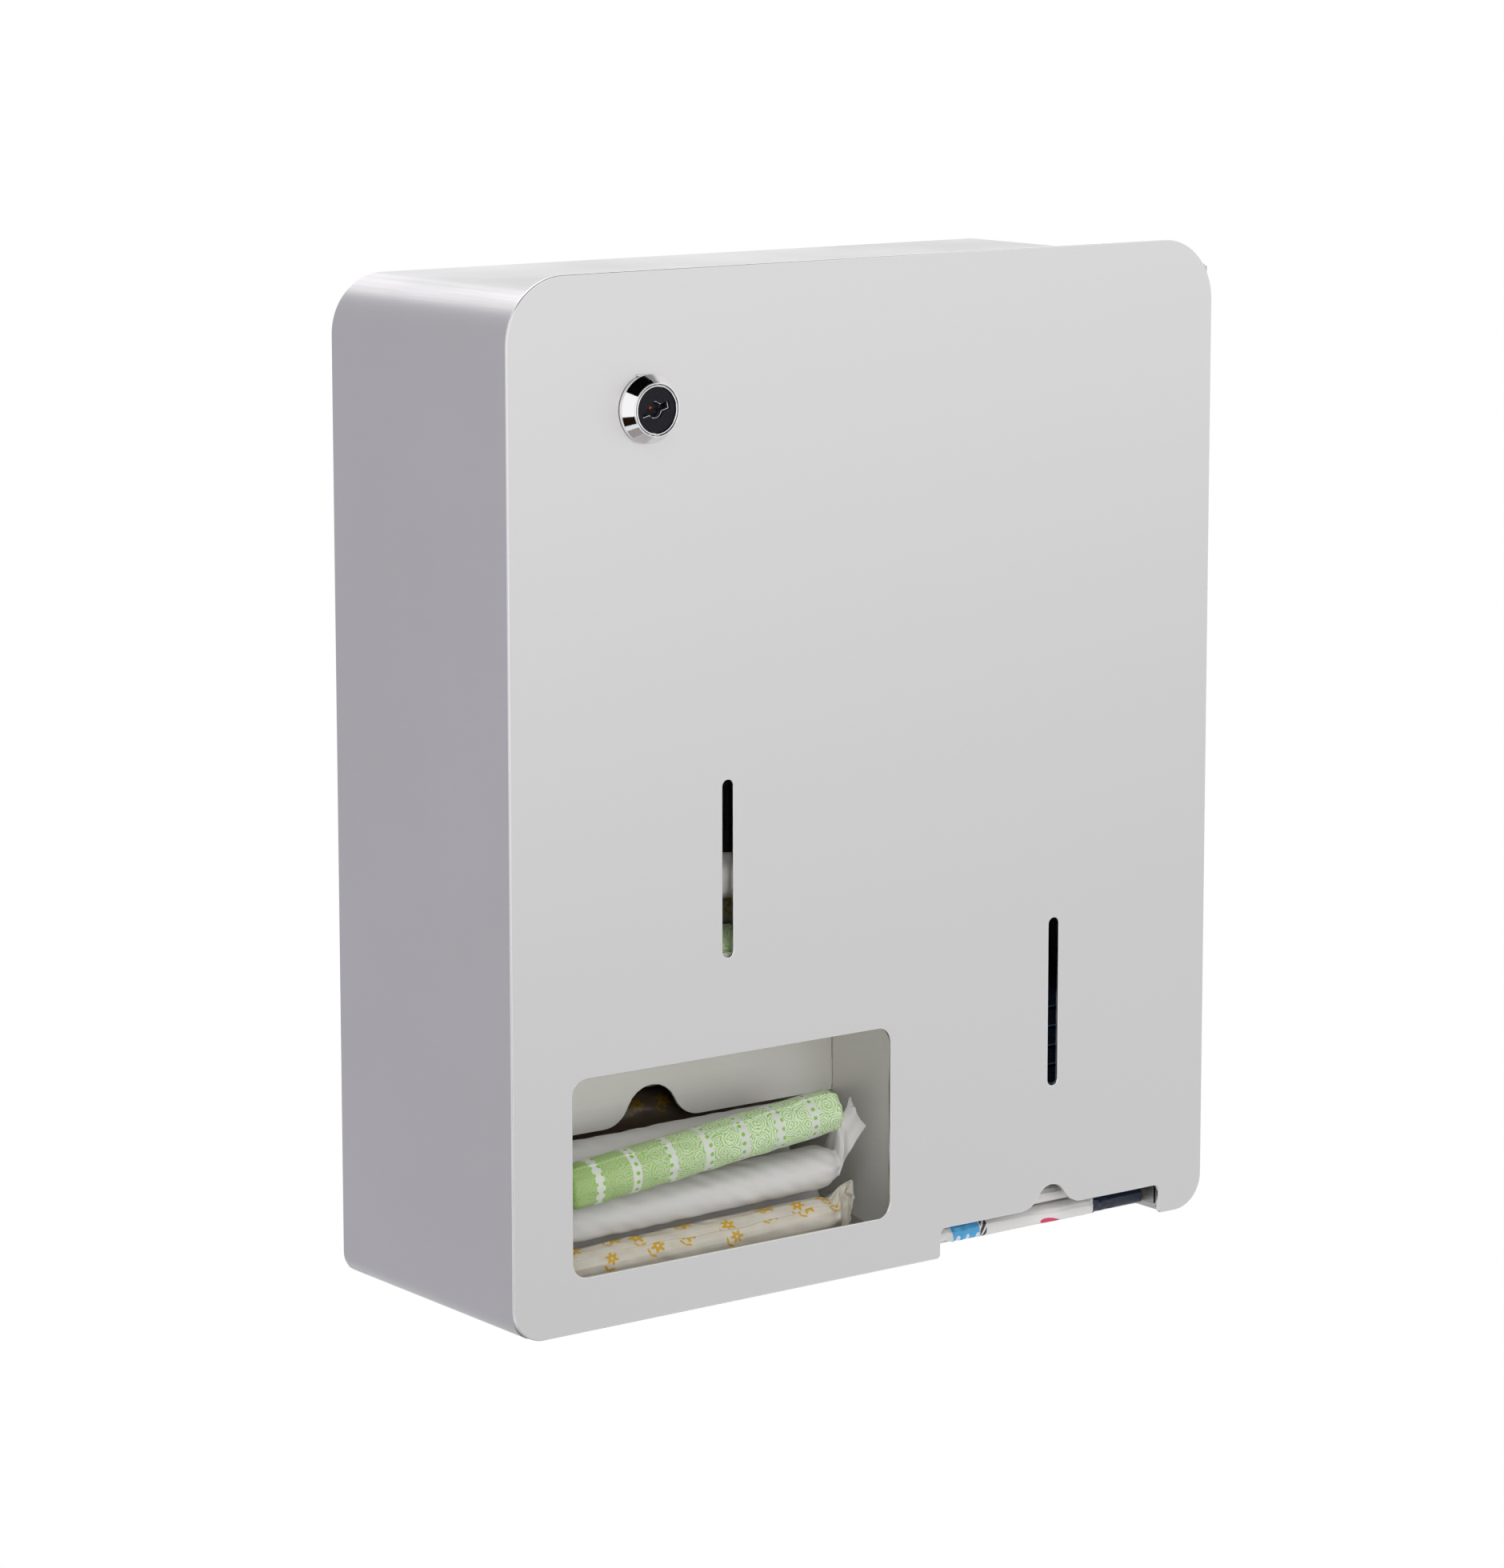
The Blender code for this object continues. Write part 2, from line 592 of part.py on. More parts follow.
def tampon_baffle(steel):
    """A ramp for the upper tampons that turns down into the front of the lower store.

    The pile leaves under its foot, which has a scallop for a finger, and tabs at its
    two sides stand in slots of the bay's plates.
    """
    half = BAY_SHEET / 2
    front = BAY_FRONT + half
    panel = BAFFLE_FRONT + half
    ramp_front = RAMP_FRONT_TOP - half
    corners = [(front, RAMP_FRONT_TOP + BAFFLE_LIP_HEIGHT), (front, ramp_front),
               (panel, ramp_front - BAFFLE_RAMP_DROP), (panel, BAFFLE_BOTTOM)]
    profile = bent_sheet(corners, [BAY_BEND_RADIUS, BAY_BEND_RADIUS], BAY_SHEET)
    baffle = prism("tampon_baffle", profile, "YZ",
                   TAMPON_BAY_LEFT - BAY_SHEET, TAMPON_BAY_RIGHT + BAY_SHEET, steel)
    edge = bell(TAMPON_CENTRE, BAFFLE_BOTTOM, FINGER_HEIGHT, FINGER_DOME_RADIUS, FINGER_HALF_WIDTH)
    below = BAFFLE_BOTTOM - CUT_OVERRUN
    scallop = [Vector((edge[0].x, below))] + edge + [Vector((edge[-1].x, below))]
    cut(baffle, prism("finger_scallop", scallop, "XZ", BAFFLE_FRONT - CUT_OVERRUN,
                      BAFFLE_FRONT + BAY_SHEET + CUT_OVERRUN))
    tab_low = BAFFLE_BOTTOM + BAFFLE_TAB_FROM_FOOT
    tab_high = tab_low + BAFFLE_TAB_HEIGHT
    spans = {"upper": (tab_high, RAMP_FRONT_TOP + BAFFLE_LIP_HEIGHT + CUT_OVERRUN),
             "lower": (BAFFLE_BOTTOM - CUT_OVERRUN, tab_low)}
    for name, (low, high) in spans.items():
        for side, edge_x in (("left", TAMPON_BAY_LEFT + SEAT_GAP), ("right", TAMPON_BAY_RIGHT - SEAT_GAP)):
            outward = edge_x + (BAY_SHEET + CUT_OVERRUN) * (-1 if side == "left" else 1)
            low_x, high_x = sorted((edge_x, outward))
            cut(baffle, block(f"baffle_trim_{name}_{side}",
                              (low_x, BAY_FRONT - CUT_OVERRUN, low),
                              (high_x, BAFFLE_FRONT + BAY_SHEET + CUT_OVERRUN, high)))
    return baffle


def tray_corners():
    """Middle line of the tray floor: front lip, slope that rises to the back, and back flange."""
    half = BAY_SHEET / 2
    front = CASE_FRONT + TRAY_FRONT_INSET + half
    back = BAY_BACK - TRAY_BACK_INSET
    low = DOOR_BOTTOM + TRAY_FRONT_RISE + half
    high = DOOR_BOTTOM + TRAY_BACK_RISE
    return [(front, low + TRAY_LIP_HEIGHT), (front, low), (back, high), (back, high - TRAY_BACK_FLANGE)]


def tray_floor(steel):
    profile = bent_sheet(tray_corners(), [BAY_BEND_RADIUS, BAY_BEND_RADIUS], BAY_SHEET)
    return prism("tray_floor", profile, "YZ", TAMPON_BAY_LEFT + SEAT_GAP, TAMPON_BAY_RIGHT - SEAT_GAP, steel)


# Door

def door_panel(steel):
    """The flat front plate: window, two viewing slots, lock hole and the notch for the pads."""
    notch_top = DOOR_BOTTOM + NOTCH_HEIGHT
    thumb = bell(PAD_CENTRE, notch_top, THUMB_HEIGHT, THUMB_DOME_RADIUS, THUMB_HALF_WIDTH)
    corners = [((DOOR_LEFT, DOOR_BOTTOM), DOOR_BOTTOM_RADIUS),
               ((NOTCH_LEFT, DOOR_BOTTOM), NOTCH_OUTER_RADIUS),
               ((NOTCH_LEFT, notch_top), NOTCH_INNER_RADIUS)]
    corners += [(point, 0) for point in thumb]
    corners += [((NOTCH_RIGHT, notch_top), NOTCH_INNER_RADIUS),
                ((NOTCH_RIGHT, DOOR_BOTTOM), NOTCH_OUTER_RADIUS),
                ((DOOR_RIGHT, DOOR_BOTTOM), DOOR_BOTTOM_RADIUS),
                ((DOOR_RIGHT, DOOR_TOP), DOOR_TOP_RADIUS),
                ((DOOR_LEFT, DOOR_TOP), DOOR_TOP_RADIUS)]
    door = prism("door_panel", rounded_outline(corners), "XZ", DOOR_FRONT, DOOR_BACK, steel)
    window_left = TAMPON_BAY_LEFT + WINDOW_LEFT_INSET
    window_right = TAMPON_BAY_RIGHT - WINDOW_RIGHT_INSET
    window_bottom = DOOR_BOTTOM + WINDOW_FROM_BOTTOM
    holes = {
        "window_hole": rectangle((window_left, window_bottom),
                                 (window_right, window_bottom + WINDOW_HEIGHT), WINDOW_RADIUS),
        "tampon_slot_hole": slot_outline(TAMPON_CENTRE, DOOR_BOTTOM + TAMPON_SLOT_FROM_BOTTOM),
        "pad_slot_hole": slot_outline(PAD_CENTRE, DOOR_BOTTOM + PAD_SLOT_FROM_BOTTOM),
        "lock_hole": circle((LOCK_X, LOCK_Z), BARREL_RADIUS + SEAT_GAP),
    }
    for name, outline in holes.items():
        cut(door, prism(name, outline, "XZ", DOOR_FRONT - CUT_OVERRUN, DOOR_BACK + CUT_OVERRUN))
    for number, (x, z) in enumerate(door_fastener_places(), 1):
        fuse(door, prism(f"door_stud_{number}", circle((x, z), STUD_RADIUS, SMALL_SEGMENTS), "XZ",
                         DOOR_BACK - STUD_ROOT, DOOR_BACK + STUD_LENGTH))
    return door


def slot_outline(centre_x, centre_z):
    half_width, half_length = SLOT_WIDTH / 2, SLOT_LENGTH / 2
    return (arc((centre_x, centre_z + half_length - half_width), half_width, 0, math.pi)
            + arc((centre_x, centre_z - half_length + half_width), half_width, math.pi, math.tau))


# Hinge

def fastener_heights():
    low, high = HINGE_BOTTOM + FASTENER_FROM_END, HINGE_TOP - FASTENER_FROM_END
    return [low + (high - low) * number / (FASTENER_COUNT - 1) for number in range(FASTENER_COUNT)]


def door_fastener_places():
    return [(PIN_X - FASTENER_FROM_PIN, height) for height in fastener_heights()]


def case_fastener_axis():
    """Where the rivets go through the case leaf, as (Y, Z) places on lines along X."""
    return [(PIN_Y + FASTENER_FROM_PIN, height) for height in fastener_heights()]


def fastener_cutters(name, places, radius):
    low = CASE_RIGHT - CASE_SHEET - CUT_OVERRUN
    high = CASE_RIGHT + SEAT_GAP + LEAF_SHEET + CUT_OVERRUN
    return [prism(f"{name}_{number}", circle(place, radius, SMALL_SEGMENTS), "YZ", low, high)
            for number, place in enumerate(places(), 1)]


def hinge_leaf(name, out, run, first_knuckle, steel):
    """A leaf whose edge is curled round the pin at every other knuckle.

    out points from the pin to the leaf's face, and run is the way that the leaf lies.
    """
    pin = Vector((PIN_X, PIN_Y))
    out, run = Vector(out), Vector(run)
    inner = KNUCKLE_RADIUS - LEAF_SHEET
    clear = KNUCKLE_RADIUS + KNUCKLE_CLEARANCE
    plate_corners = [pin + out * KNUCKLE_RADIUS + run * clear, pin + out * KNUCKLE_RADIUS + run * LEAF_WIDTH,
                     pin + out * inner + run * LEAF_WIDTH, pin + out * inner + run * clear]
    leaf = prism(name, plate_corners, "XY", HINGE_BOTTOM, HINGE_TOP, steel)

    def curl(radius):
        turns = [CURL_ANGLE * step / (ARC_STEPS * 2) for step in range(ARC_STEPS * 2 + 1)]
        return [pin + (out * math.cos(turn) - run * math.sin(turn)) * radius for turn in turns]

    root = run * (clear + KNUCKLE_OVERLAP)
    outline = [pin + out * KNUCKLE_RADIUS + root] + curl(KNUCKLE_RADIUS)
    outline += curl(inner)[::-1] + [pin + out * inner + root]
    pitch = (HINGE_TOP - HINGE_BOTTOM) / KNUCKLE_COUNT
    knuckles = bmesh.new()
    for number in range(first_knuckle, KNUCKLE_COUNT, 2):
        low = HINGE_BOTTOM + pitch * number + KNUCKLE_GAP / 2
        add_prism(knuckles, outline, "XY", low, low + pitch - KNUCKLE_GAP)
    fuse(leaf, to_object(f"{name}_knuckles", knuckles, None))
    return leaf


def hinge(steel):
    case_leaf = hinge_leaf("hinge_case_leaf", (-1, 0), (0, 1), 0, steel)
    cut(case_leaf, *fastener_cutters("leaf_rivet_hole", case_fastener_axis, RIVET_RADIUS + SEAT_GAP))
    door_leaf = hinge_leaf("hinge_door_leaf", (0, -1), (-1, 0), 1, steel)
    leaf_front = PIN_Y - KNUCKLE_RADIUS
    for number, (x, z) in enumerate(door_fastener_places(), 1):
        cut(door_leaf, prism(f"leaf_stud_hole_{number}",
                             circle((x, z), STUD_RADIUS + SEAT_GAP, SMALL_SEGMENTS), "XZ",
                             leaf_front - CUT_OVERRUN, leaf_front + LEAF_SHEET + CUT_OVERRUN))
    prism("hinge_pin", circle((PIN_X, PIN_Y), PIN_RADIUS, SMALL_SEGMENTS), "XY",
          HINGE_BOTTOM - PIN_OVERHANG, HINGE_TOP + PIN_OVERHANG, steel)
    return door_leaf


def hinge_rivets(steel):
    """Domed rivets that hold the case leaf to the side of the case."""
    face = CASE_RIGHT + SEAT_GAP + LEAF_SHEET + SEAT_GAP
    inside = CASE_RIGHT - CASE_SHEET - SEAT_GAP
    profile = [(0, face + RIVET_HEAD_HEIGHT),
               (RIVET_HEAD_RADIUS * RIVET_DOME_SHARE, face + RIVET_HEAD_HEIGHT),
               (RIVET_HEAD_RADIUS, face + RIVET_HEAD_HEIGHT * RIVET_EDGE_SHARE), (RIVET_HEAD_RADIUS, face),
               (RIVET_RADIUS, face), (RIVET_RADIUS, inside), (RIVET_TAIL_RADIUS, inside),
               (RIVET_TAIL_RADIUS, inside - RIVET_TAIL_HEIGHT), (0, inside - RIVET_TAIL_HEIGHT)]
    for number, (y, z) in enumerate(case_fastener_axis(), 1):
        turned(f"hinge_rivet_{number}", profile, (0, y, z), (1, 0, 0), steel, SMALL_SEGMENTS)


def hexagon(centre, across_flats):
    return circle(centre, across_flats / math.sqrt(3), 6)


def hinge_nuts(steel):
    low = PIN_Y - KNUCKLE_RADIUS + LEAF_SHEET + SEAT_GAP
    made = []
    for number, place in enumerate(door_fastener_places(), 1):
        high = low + NUT_HEIGHT
        nut = prism(f"hinge_nut_{number}", hexagon(place, NUT_ACROSS_FLATS), "XZ", low, high, steel)
        cut(nut, prism(f"nut_bore_{number}", circle(place, STUD_RADIUS + SEAT_GAP, SMALL_SEGMENTS), "XZ",
                       low - CUT_OVERRUN, high + CUT_OVERRUN))
        made.append(nut)
    return made


# Lock

def lock_housing(chrome):
    """A conical bezel in front of the door and a barrel behind it, bored for the plug."""
    front = -BEZEL_HEIGHT
    profile = [
        (COUNTERBORE_RADIUS, front + BEZEL_FRONT_CHAMFER),
        (COUNTERBORE_RADIUS + BEZEL_FRONT_CHAMFER, front),
        (BEZEL_FRONT_RADIUS - BEZEL_FRONT_CHAMFER, front),
        (BEZEL_FRONT_RADIUS, front + BEZEL_FRONT_CHAMFER),
        (BEZEL_RADIUS - BEZEL_RIM_CHAMFER, -BEZEL_RIM - BEZEL_RIM_CHAMFER),
        (BEZEL_RADIUS, -BEZEL_RIM),
        (BEZEL_RADIUS, -SEAT_GAP),
        (BARREL_RADIUS, -SEAT_GAP),
        (BARREL_RADIUS, BARREL_LENGTH),
        (BARREL_BORE_RADIUS, BARREL_LENGTH),
        (BARREL_BORE_RADIUS, front + COUNTERBORE_DEPTH),
        (COUNTERBORE_RADIUS, front + COUNTERBORE_DEPTH),
    ]
    return turned("lock_housing", profile, (LOCK_X, DOOR_FRONT, LOCK_Z), (0, 1, 0), chrome)


def lock_nut(steel):
    place = (LOCK_X, LOCK_Z)
    low = DOOR_BACK + SEAT_GAP
    nut = prism("lock_nut", hexagon(place, LOCK_NUT_ACROSS_FLATS), "XZ", low, low + LOCK_NUT_HEIGHT, steel)
    cut(nut, prism("lock_nut_bore", circle(place, BARREL_RADIUS + SEAT_GAP), "XZ",
                   low - CUT_OVERRUN, low + LOCK_NUT_HEIGHT + CUT_OVERRUN))
    return nut


def lock_block(name, half_length, half_width, low, high, tilt=0):
    """A bar across the lock's axis, turned about it by the tilt."""
    corners = [(-half_length, -half_width), (half_length, -half_width),
               (half_length, half_width), (-half_length, half_width)]
    outline = []
    for x, z in corners:
        turned_x = x * math.cos(tilt) - z * math.sin(tilt)
        turned_z = x * math.sin(tilt) + z * math.cos(tilt)
        outline.append(Vector((LOCK_X + turned_x, LOCK_Z + turned_z)))
    return prism(name, outline, "XZ", low, high)


def keyway_cutters(owner, low, high):
    return [prism(f"{owner}_keyway_centre", circle((LOCK_X, LOCK_Z), KEYWAY_RADIUS, SMALL_SEGMENTS),
                  "XZ", low, high),
            lock_block(f"{owner}_keyway_bar", KEYWAY_LENGTH / 2, KEYWAY_WIDTH / 2, low, high, KEYWAY_TILT)]


def lock_plug(chrome):
    """The part that the key turns: a rim round the face disc, a body, and a square tail for the cam."""
    front = -BEZEL_HEIGHT
    rim = COUNTERBORE_RADIUS - PLUG_CLEARANCE
    body = BARREL_BORE_RADIUS - PLUG_CLEARANCE
    shoulder = front + COUNTERBORE_DEPTH - SEAT_GAP
    floor = front + PLUG_RECESS_DEPTH
    profile = [(0, floor), (PLUG_RECESS_RADIUS, floor), (PLUG_RECESS_RADIUS, front + PLUG_RIM_CHAMFER),
               (PLUG_RECESS_RADIUS + PLUG_RIM_CHAMFER, front), (rim - PLUG_RIM_CHAMFER, front),
               (rim, front + PLUG_RIM_CHAMFER), (rim, shoulder), (body, shoulder),
               (body, BARREL_LENGTH), (0, BARREL_LENGTH)]
    plug = turned("lock_plug", profile, (LOCK_X, DOOR_FRONT, LOCK_Z), (0, 1, 0), chrome)
    back = DOOR_FRONT + BARREL_LENGTH
    tail_end = CAM_FRONT + CAM_THICKNESS - SEAT_GAP
    fuse(plug, lock_block("plug_tail", TAIL_SIDE / 2, TAIL_SIDE / 2, back - TAIL_ROOT, tail_end))
    face = DOOR_FRONT + front
    cut(plug, prism("plug_screw_hole", circle((LOCK_X, LOCK_Z), SCREW_HOLE_RADIUS, SMALL_SEGMENTS), "XZ",
                    tail_end - SCREW_HOLE_DEPTH, tail_end + CUT_OVERRUN),
        *keyway_cutters("plug", face - CUT_OVERRUN, face + KEYWAY_DEPTH))
    return plug


def lock_disc(black):
    """The black disc in the face of the plug, pierced by the keyway."""
    low = DOOR_FRONT - BEZEL_HEIGHT + PLUG_RECESS_DEPTH - SEAT_GAP - DISC_THICKNESS
    high = low + DISC_THICKNESS
    outline = circle((LOCK_X, LOCK_Z), PLUG_RECESS_RADIUS - SEAT_GAP)
    disc = prism("lock_disc", outline, "XZ", low, high, black)
    cut(disc, *keyway_cutters("disc", low - CUT_OVERRUN, high + CUT_OVERRUN))
    return disc


def lock_cam(steel):
    """A flat bar with round ends on the plug's tail. It hangs down while the door is unlocked."""
    low_z = LOCK_Z - CAM_REACH + CAM_HALF_WIDTH
    high_z = LOCK_Z + CAM_TAIL - CAM_HALF_WIDTH
    outline = (arc((LOCK_X, high_z), CAM_HALF_WIDTH, 0, math.pi)
               + arc((LOCK_X, low_z), CAM_HALF_WIDTH, math.pi, math.tau))
    cam = prism("lock_cam", outline, "XZ", CAM_FRONT, CAM_FRONT + CAM_THICKNESS, steel)
    side = TAIL_SIDE / 2 + SEAT_GAP
    cut(cam, lock_block("cam_square", side, side, CAM_FRONT - CUT_OVERRUN,
                        CAM_FRONT + CAM_THICKNESS + CUT_OVERRUN))
    return cam


def lock_washer(steel):
    low = CAM_FRONT + CAM_THICKNESS + SEAT_GAP - DOOR_FRONT
    hole = SCREW_RADIUS + SEAT_GAP
    profile = [(hole, low), (WASHER_RADIUS, low), (WASHER_RADIUS, low + WASHER_THICKNESS),
               (hole, low + WASHER_THICKNESS)]
    return turned("lock_washer", profile, (LOCK_X, DOOR_FRONT, LOCK_Z), (0, 1, 0), steel)


def lock_screw(steel):
    """The screw that holds the cam, with its head on the washer and its end in the plug's tail."""
    head = CAM_FRONT + CAM_THICKNESS + SEAT_GAP + WASHER_THICKNESS + SEAT_GAP - DOOR_FRONT
    end = CAM_FRONT - DOOR_FRONT - SCREW_REACH + CAM_THICKNESS
    top = head + SCREW_HEAD_HEIGHT
    profile = [(0, end), (SCREW_RADIUS, end), (SCREW_RADIUS, head), (SCREW_HEAD_RADIUS, head),
               (SCREW_HEAD_RADIUS, top - SCREW_HEAD_CHAMFER), (SCREW_HEAD_RADIUS - SCREW_HEAD_CHAMFER, top),
               (0, top)]
    return turned("lock_screw", profile, (LOCK_X, DOOR_FRONT, LOCK_Z), (0, 1, 0), steel, SMALL_SEGMENTS)


def lock_strike(steel):
    """An angle on the left wall. The cam turns behind its flange when the door is locked."""
    half = STRIKE_SHEET / 2
    wall = CASE_LEFT + CASE_SHEET + SEAT_GAP + half
    flange = CAM_FRONT - SEAT_GAP - half
    corners = [(wall, flange - STRIKE_WELD_LENGTH), (wall, flange), (wall + STRIKE_WIDTH, flange)]
    profile = bent_sheet(corners, [STRIKE_BEND_RADIUS], STRIKE_SHEET)
    low = LOCK_Z - STRIKE_HEIGHT / 2
    return prism("lock_strike", profile, "XY", low, low + STRIKE_HEIGHT, steel)


# Contents

def pad(number, wrapper):
    """A folded pad in its wrapper, lying flat. Number 1, at the bottom, is pressed thinner."""
    base, thickness = PANEL_TOP + SEAT_GAP, BOTTOM_PAD_THICKNESS
    if number > 1:
        base += BOTTOM_PAD_THICKNESS + PAD_SPACING + (PAD_THICKNESS + PAD_SPACING) * (number - 2)
        thickness = PAD_THICKNESS
    front = CASE_FRONT + PAD_FRONT_INSET
    mesh_data = bmesh.new()
    low = (PAD_CENTRE - PAD_WIDTH / 2, front)
    high = (PAD_CENTRE + PAD_WIDTH / 2, front + PAD_LENGTH)
    add_prism(mesh_data, rectangle(low, high), "XY", base, base + thickness)
    bmesh.ops.recalc_face_normals(mesh_data, faces=mesh_data.faces)
    radius = min(PAD_EDGE_RADIUS, thickness * PAD_EDGE_SHARE)
    bmesh.ops.bevel(mesh_data, geom=mesh_data.edges[:], offset=radius, offset_type="OFFSET",
                    segments=PAD_EDGE_STEPS, profile=BEVEL_PROFILE_SHARE, affect="EDGES")
    return to_object(f"pad_{number:02d}", mesh_data, wrapper)


def resting_on(rear, front):
    """Centre of a tampon that lies in the groove between two others, as (depth, height)."""
    rear, front = Vector(rear), Vector(front)
    pitch = 2 * TAMPON_RADIUS + TAMPON_SPACING
    span = rear - front
    lift = math.sqrt(pitch**2 - (span.length / 2) ** 2)
    normal = Vector((-span.y, span.x)).normalized()
    return (rear + front) / 2 + normal * lift


def row_on_slope(start, slope, front_face, count):
    """Centres of tampons side by side on a slope, the first one against the face in front of it."""
    reach = TAMPON_RADIUS + TAMPON_SPACING
    along = Vector((math.cos(slope), math.sin(slope)))
    up = Vector((-along.y, along.x))
    first_depth = front_face + reach
    run = (first_depth - start[0] - up.x * reach) / along.x
    first = Vector(start) + along * run + up * reach
    pitch = 2 * TAMPON_RADIUS + TAMPON_SPACING
    return [first + along * pitch * number for number in range(count)]


def leaning_on(other, face):
    """Centre of a tampon that lies on another one and against an upright face in front of both."""
    depth = face + TAMPON_RADIUS + TAMPON_SPACING
    pitch = 2 * TAMPON_RADIUS + TAMPON_SPACING
    return Vector((depth, other[1] + math.sqrt(pitch**2 - (other[0] - depth) ** 2)))


def tampon_places():
    """Centres in the Y-Z plane with each tilt: the pile in the tray, then those that wait on the ramp."""
    half = BAY_SHEET / 2
    lip, front, back = (Vector(corner) for corner in tray_corners()[:3])
    slope = math.atan2(back.y - front.y, back.x - front.x)
    floor_start = front + Vector((-math.sin(slope), math.cos(slope))) * half
    floor = row_on_slope(floor_start, slope, lip.x + half, FLOOR_ROW_COUNT)
    second = [resting_on(floor[i + 1], floor[i]) for i in range(FLOOR_ROW_COUNT - 1)]
    against_door = leaning_on(second[0], DOOR_BACK)
    behind_it = resting_on(second[1], against_door) + Vector((TILT_ROOM, 0))
    under_ramp = resting_on(second[3], second[2])
    drop = -math.atan2(BAFFLE_RAMP_DROP, BAFFLE_DEPTH - (BAY_FRONT - DOOR_FRONT))
    lip_face = BAY_FRONT + BAY_SHEET
    ramp_start = Vector((BAY_FRONT + half, RAMP_FRONT_TOP))
    ramp = row_on_slope(ramp_start, drop, lip_face, RAMP_ROW_COUNT)
    upper = resting_on(ramp[1], ramp[0])
    top = leaning_on(upper, lip_face)
    tilted = [(floor[0], FRONT_TILT), *((place, 0) for place in floor[1:]),
              (second[0], FRONT_TILT), *((place, 0) for place in second[1:]),
              (against_door, TOP_TAMPON_TILT), (behind_it, FRONT_TILT / 2)]
    return tilted + [(place, 0) for place in (under_ramp, *ramp, upper, top)]


def tampon(number, place, shift, length, tilt, wrapper):
    """A wrapped tampon lying along X, as a turned solid with round ends, tilted about its left end."""
    left = TAMPON_BAY_LEFT + TAMPON_ROOM * LEFT_ROOM_SHARE + shift
    quarter = arc((TAMPON_END_RADIUS, TAMPON_RADIUS - TAMPON_END_RADIUS), TAMPON_END_RADIUS,
                  math.pi, math.pi / 2, TAMPON_ROUND_STEPS)
    near_end = [(point.y, point.x) for point in quarter]
    far_end = [(radius, length - run) for radius, run in near_end[::-1]]
    profile = [(0, 0)] + near_end + far_end + [(0, length)]
    made = turned(f"tampon_{number:02d}", profile, (0, 0, 0), (1, 0, 0), wrapper, TAMPON_SEGMENTS)
    turn = Matrix.Rotation(-tilt, 4, "Y")
    made.data.transform(Matrix.Translation((left, place[0], place[1])) @ turn)
    return made


def main():
    clear_scene()
    steel = material("satin_stainless", STEEL_COLOUR, 1.0, 0.38)
    chrome = material("lock_chrome", CHROME_COLOUR, 1.0, 0.08)
    black = material("lock_black", BLACK_COLOUR, 0.0, 0.3)
    pad_film = material("pad_film", PAD_COLOUR, 0.0, 0.5)
    green_paper = material("green_wrapper", GREEN_COLOUR, 0.0, 0.5)
    white_paper = material("white_wrapper", PAPER_COLOUR, 0.0, 0.5)

    door_axis = joint_axis("door_axis", (PIN_X, PIN_Y, 0))
    lock_axis = joint_axis("lock_axis", (LOCK_X, DOOR_FRONT, LOCK_Z), door_axis)

    case_wrap(steel)
    back_panel(steel)
    bottom_panel(steel)
    tampon_plates(steel)
    pad_plates(steel)
    tampon_baffle(steel)
    tray_floor(steel)
    lock_strike(steel)
    door_leaf = hinge(steel)
    hinge_rivets(steel)
    for piece in [door_panel(steel), door_leaf, *hinge_nuts(steel), lock_housing(chrome), lock_nut(steel)]:
        hang(piece, door_axis)
    for piece in [lock_plug(chrome), lock_disc(black), lock_cam(steel), lock_washer(steel),
                  lock_screw(steel)]:
        hang(piece, lock_axis)

    pads = [pad(number, pad_film) for number in range(1, PAD_COUNT + 1)]
    pad_axis = joint_axis("pad_axis", (PAD_CENTRE, CASE_FRONT + PAD_FRONT_INSET, PANEL_TOP))
    hang(pads[0], pad_axis)

    for number, (place, tilt) in enumerate(tampon_places(), 1):
        in_front = tilt == TOP_TAMPON_TILT
        shift = SHIFT_SHARES[number - 1] * TAMPON_ROOM
        length = TAMPON_LENGTH + (TORN_END_SHARE * TAMPON_ROOM if number == TORN_TAMPON else 0)
        piece = tampon(number, place, shift, length, tilt, green_paper if in_front else white_paper)
        if in_front:
            hang(piece, joint_axis("tampon_axis", (TAMPON_CENTRE, place[0], place[1])))


main()
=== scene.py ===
"""Looks for a wall-mounted tampon and pad dispenser in satin stainless sheet.

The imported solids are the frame. The sheets that show, the lock's face and every wrapped
tampon and pad are made here as surfaces, and the solids that stay get their finishes.
Lengths are metres: X to the right seen from the front, Y into the wall, Z up.
"""

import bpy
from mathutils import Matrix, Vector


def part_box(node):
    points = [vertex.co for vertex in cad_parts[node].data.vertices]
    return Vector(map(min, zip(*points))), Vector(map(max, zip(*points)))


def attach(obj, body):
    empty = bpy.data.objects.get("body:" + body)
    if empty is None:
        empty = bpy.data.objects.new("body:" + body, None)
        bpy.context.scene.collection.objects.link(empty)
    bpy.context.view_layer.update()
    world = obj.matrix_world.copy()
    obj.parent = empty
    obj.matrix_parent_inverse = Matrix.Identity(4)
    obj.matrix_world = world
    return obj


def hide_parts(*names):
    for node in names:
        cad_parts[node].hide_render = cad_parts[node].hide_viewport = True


bl_info = {
    "name": "Tampon and Pad Dispenser",
    "version": (1, 0, 0),
    "blender": (4, 5, 0),
    "location": "View3D > Sidebar > Dispenser",
    "description": "Dresses the solids of a wall-mounted sheet-steel dispenser and its stock",
    "category": "Object",
}

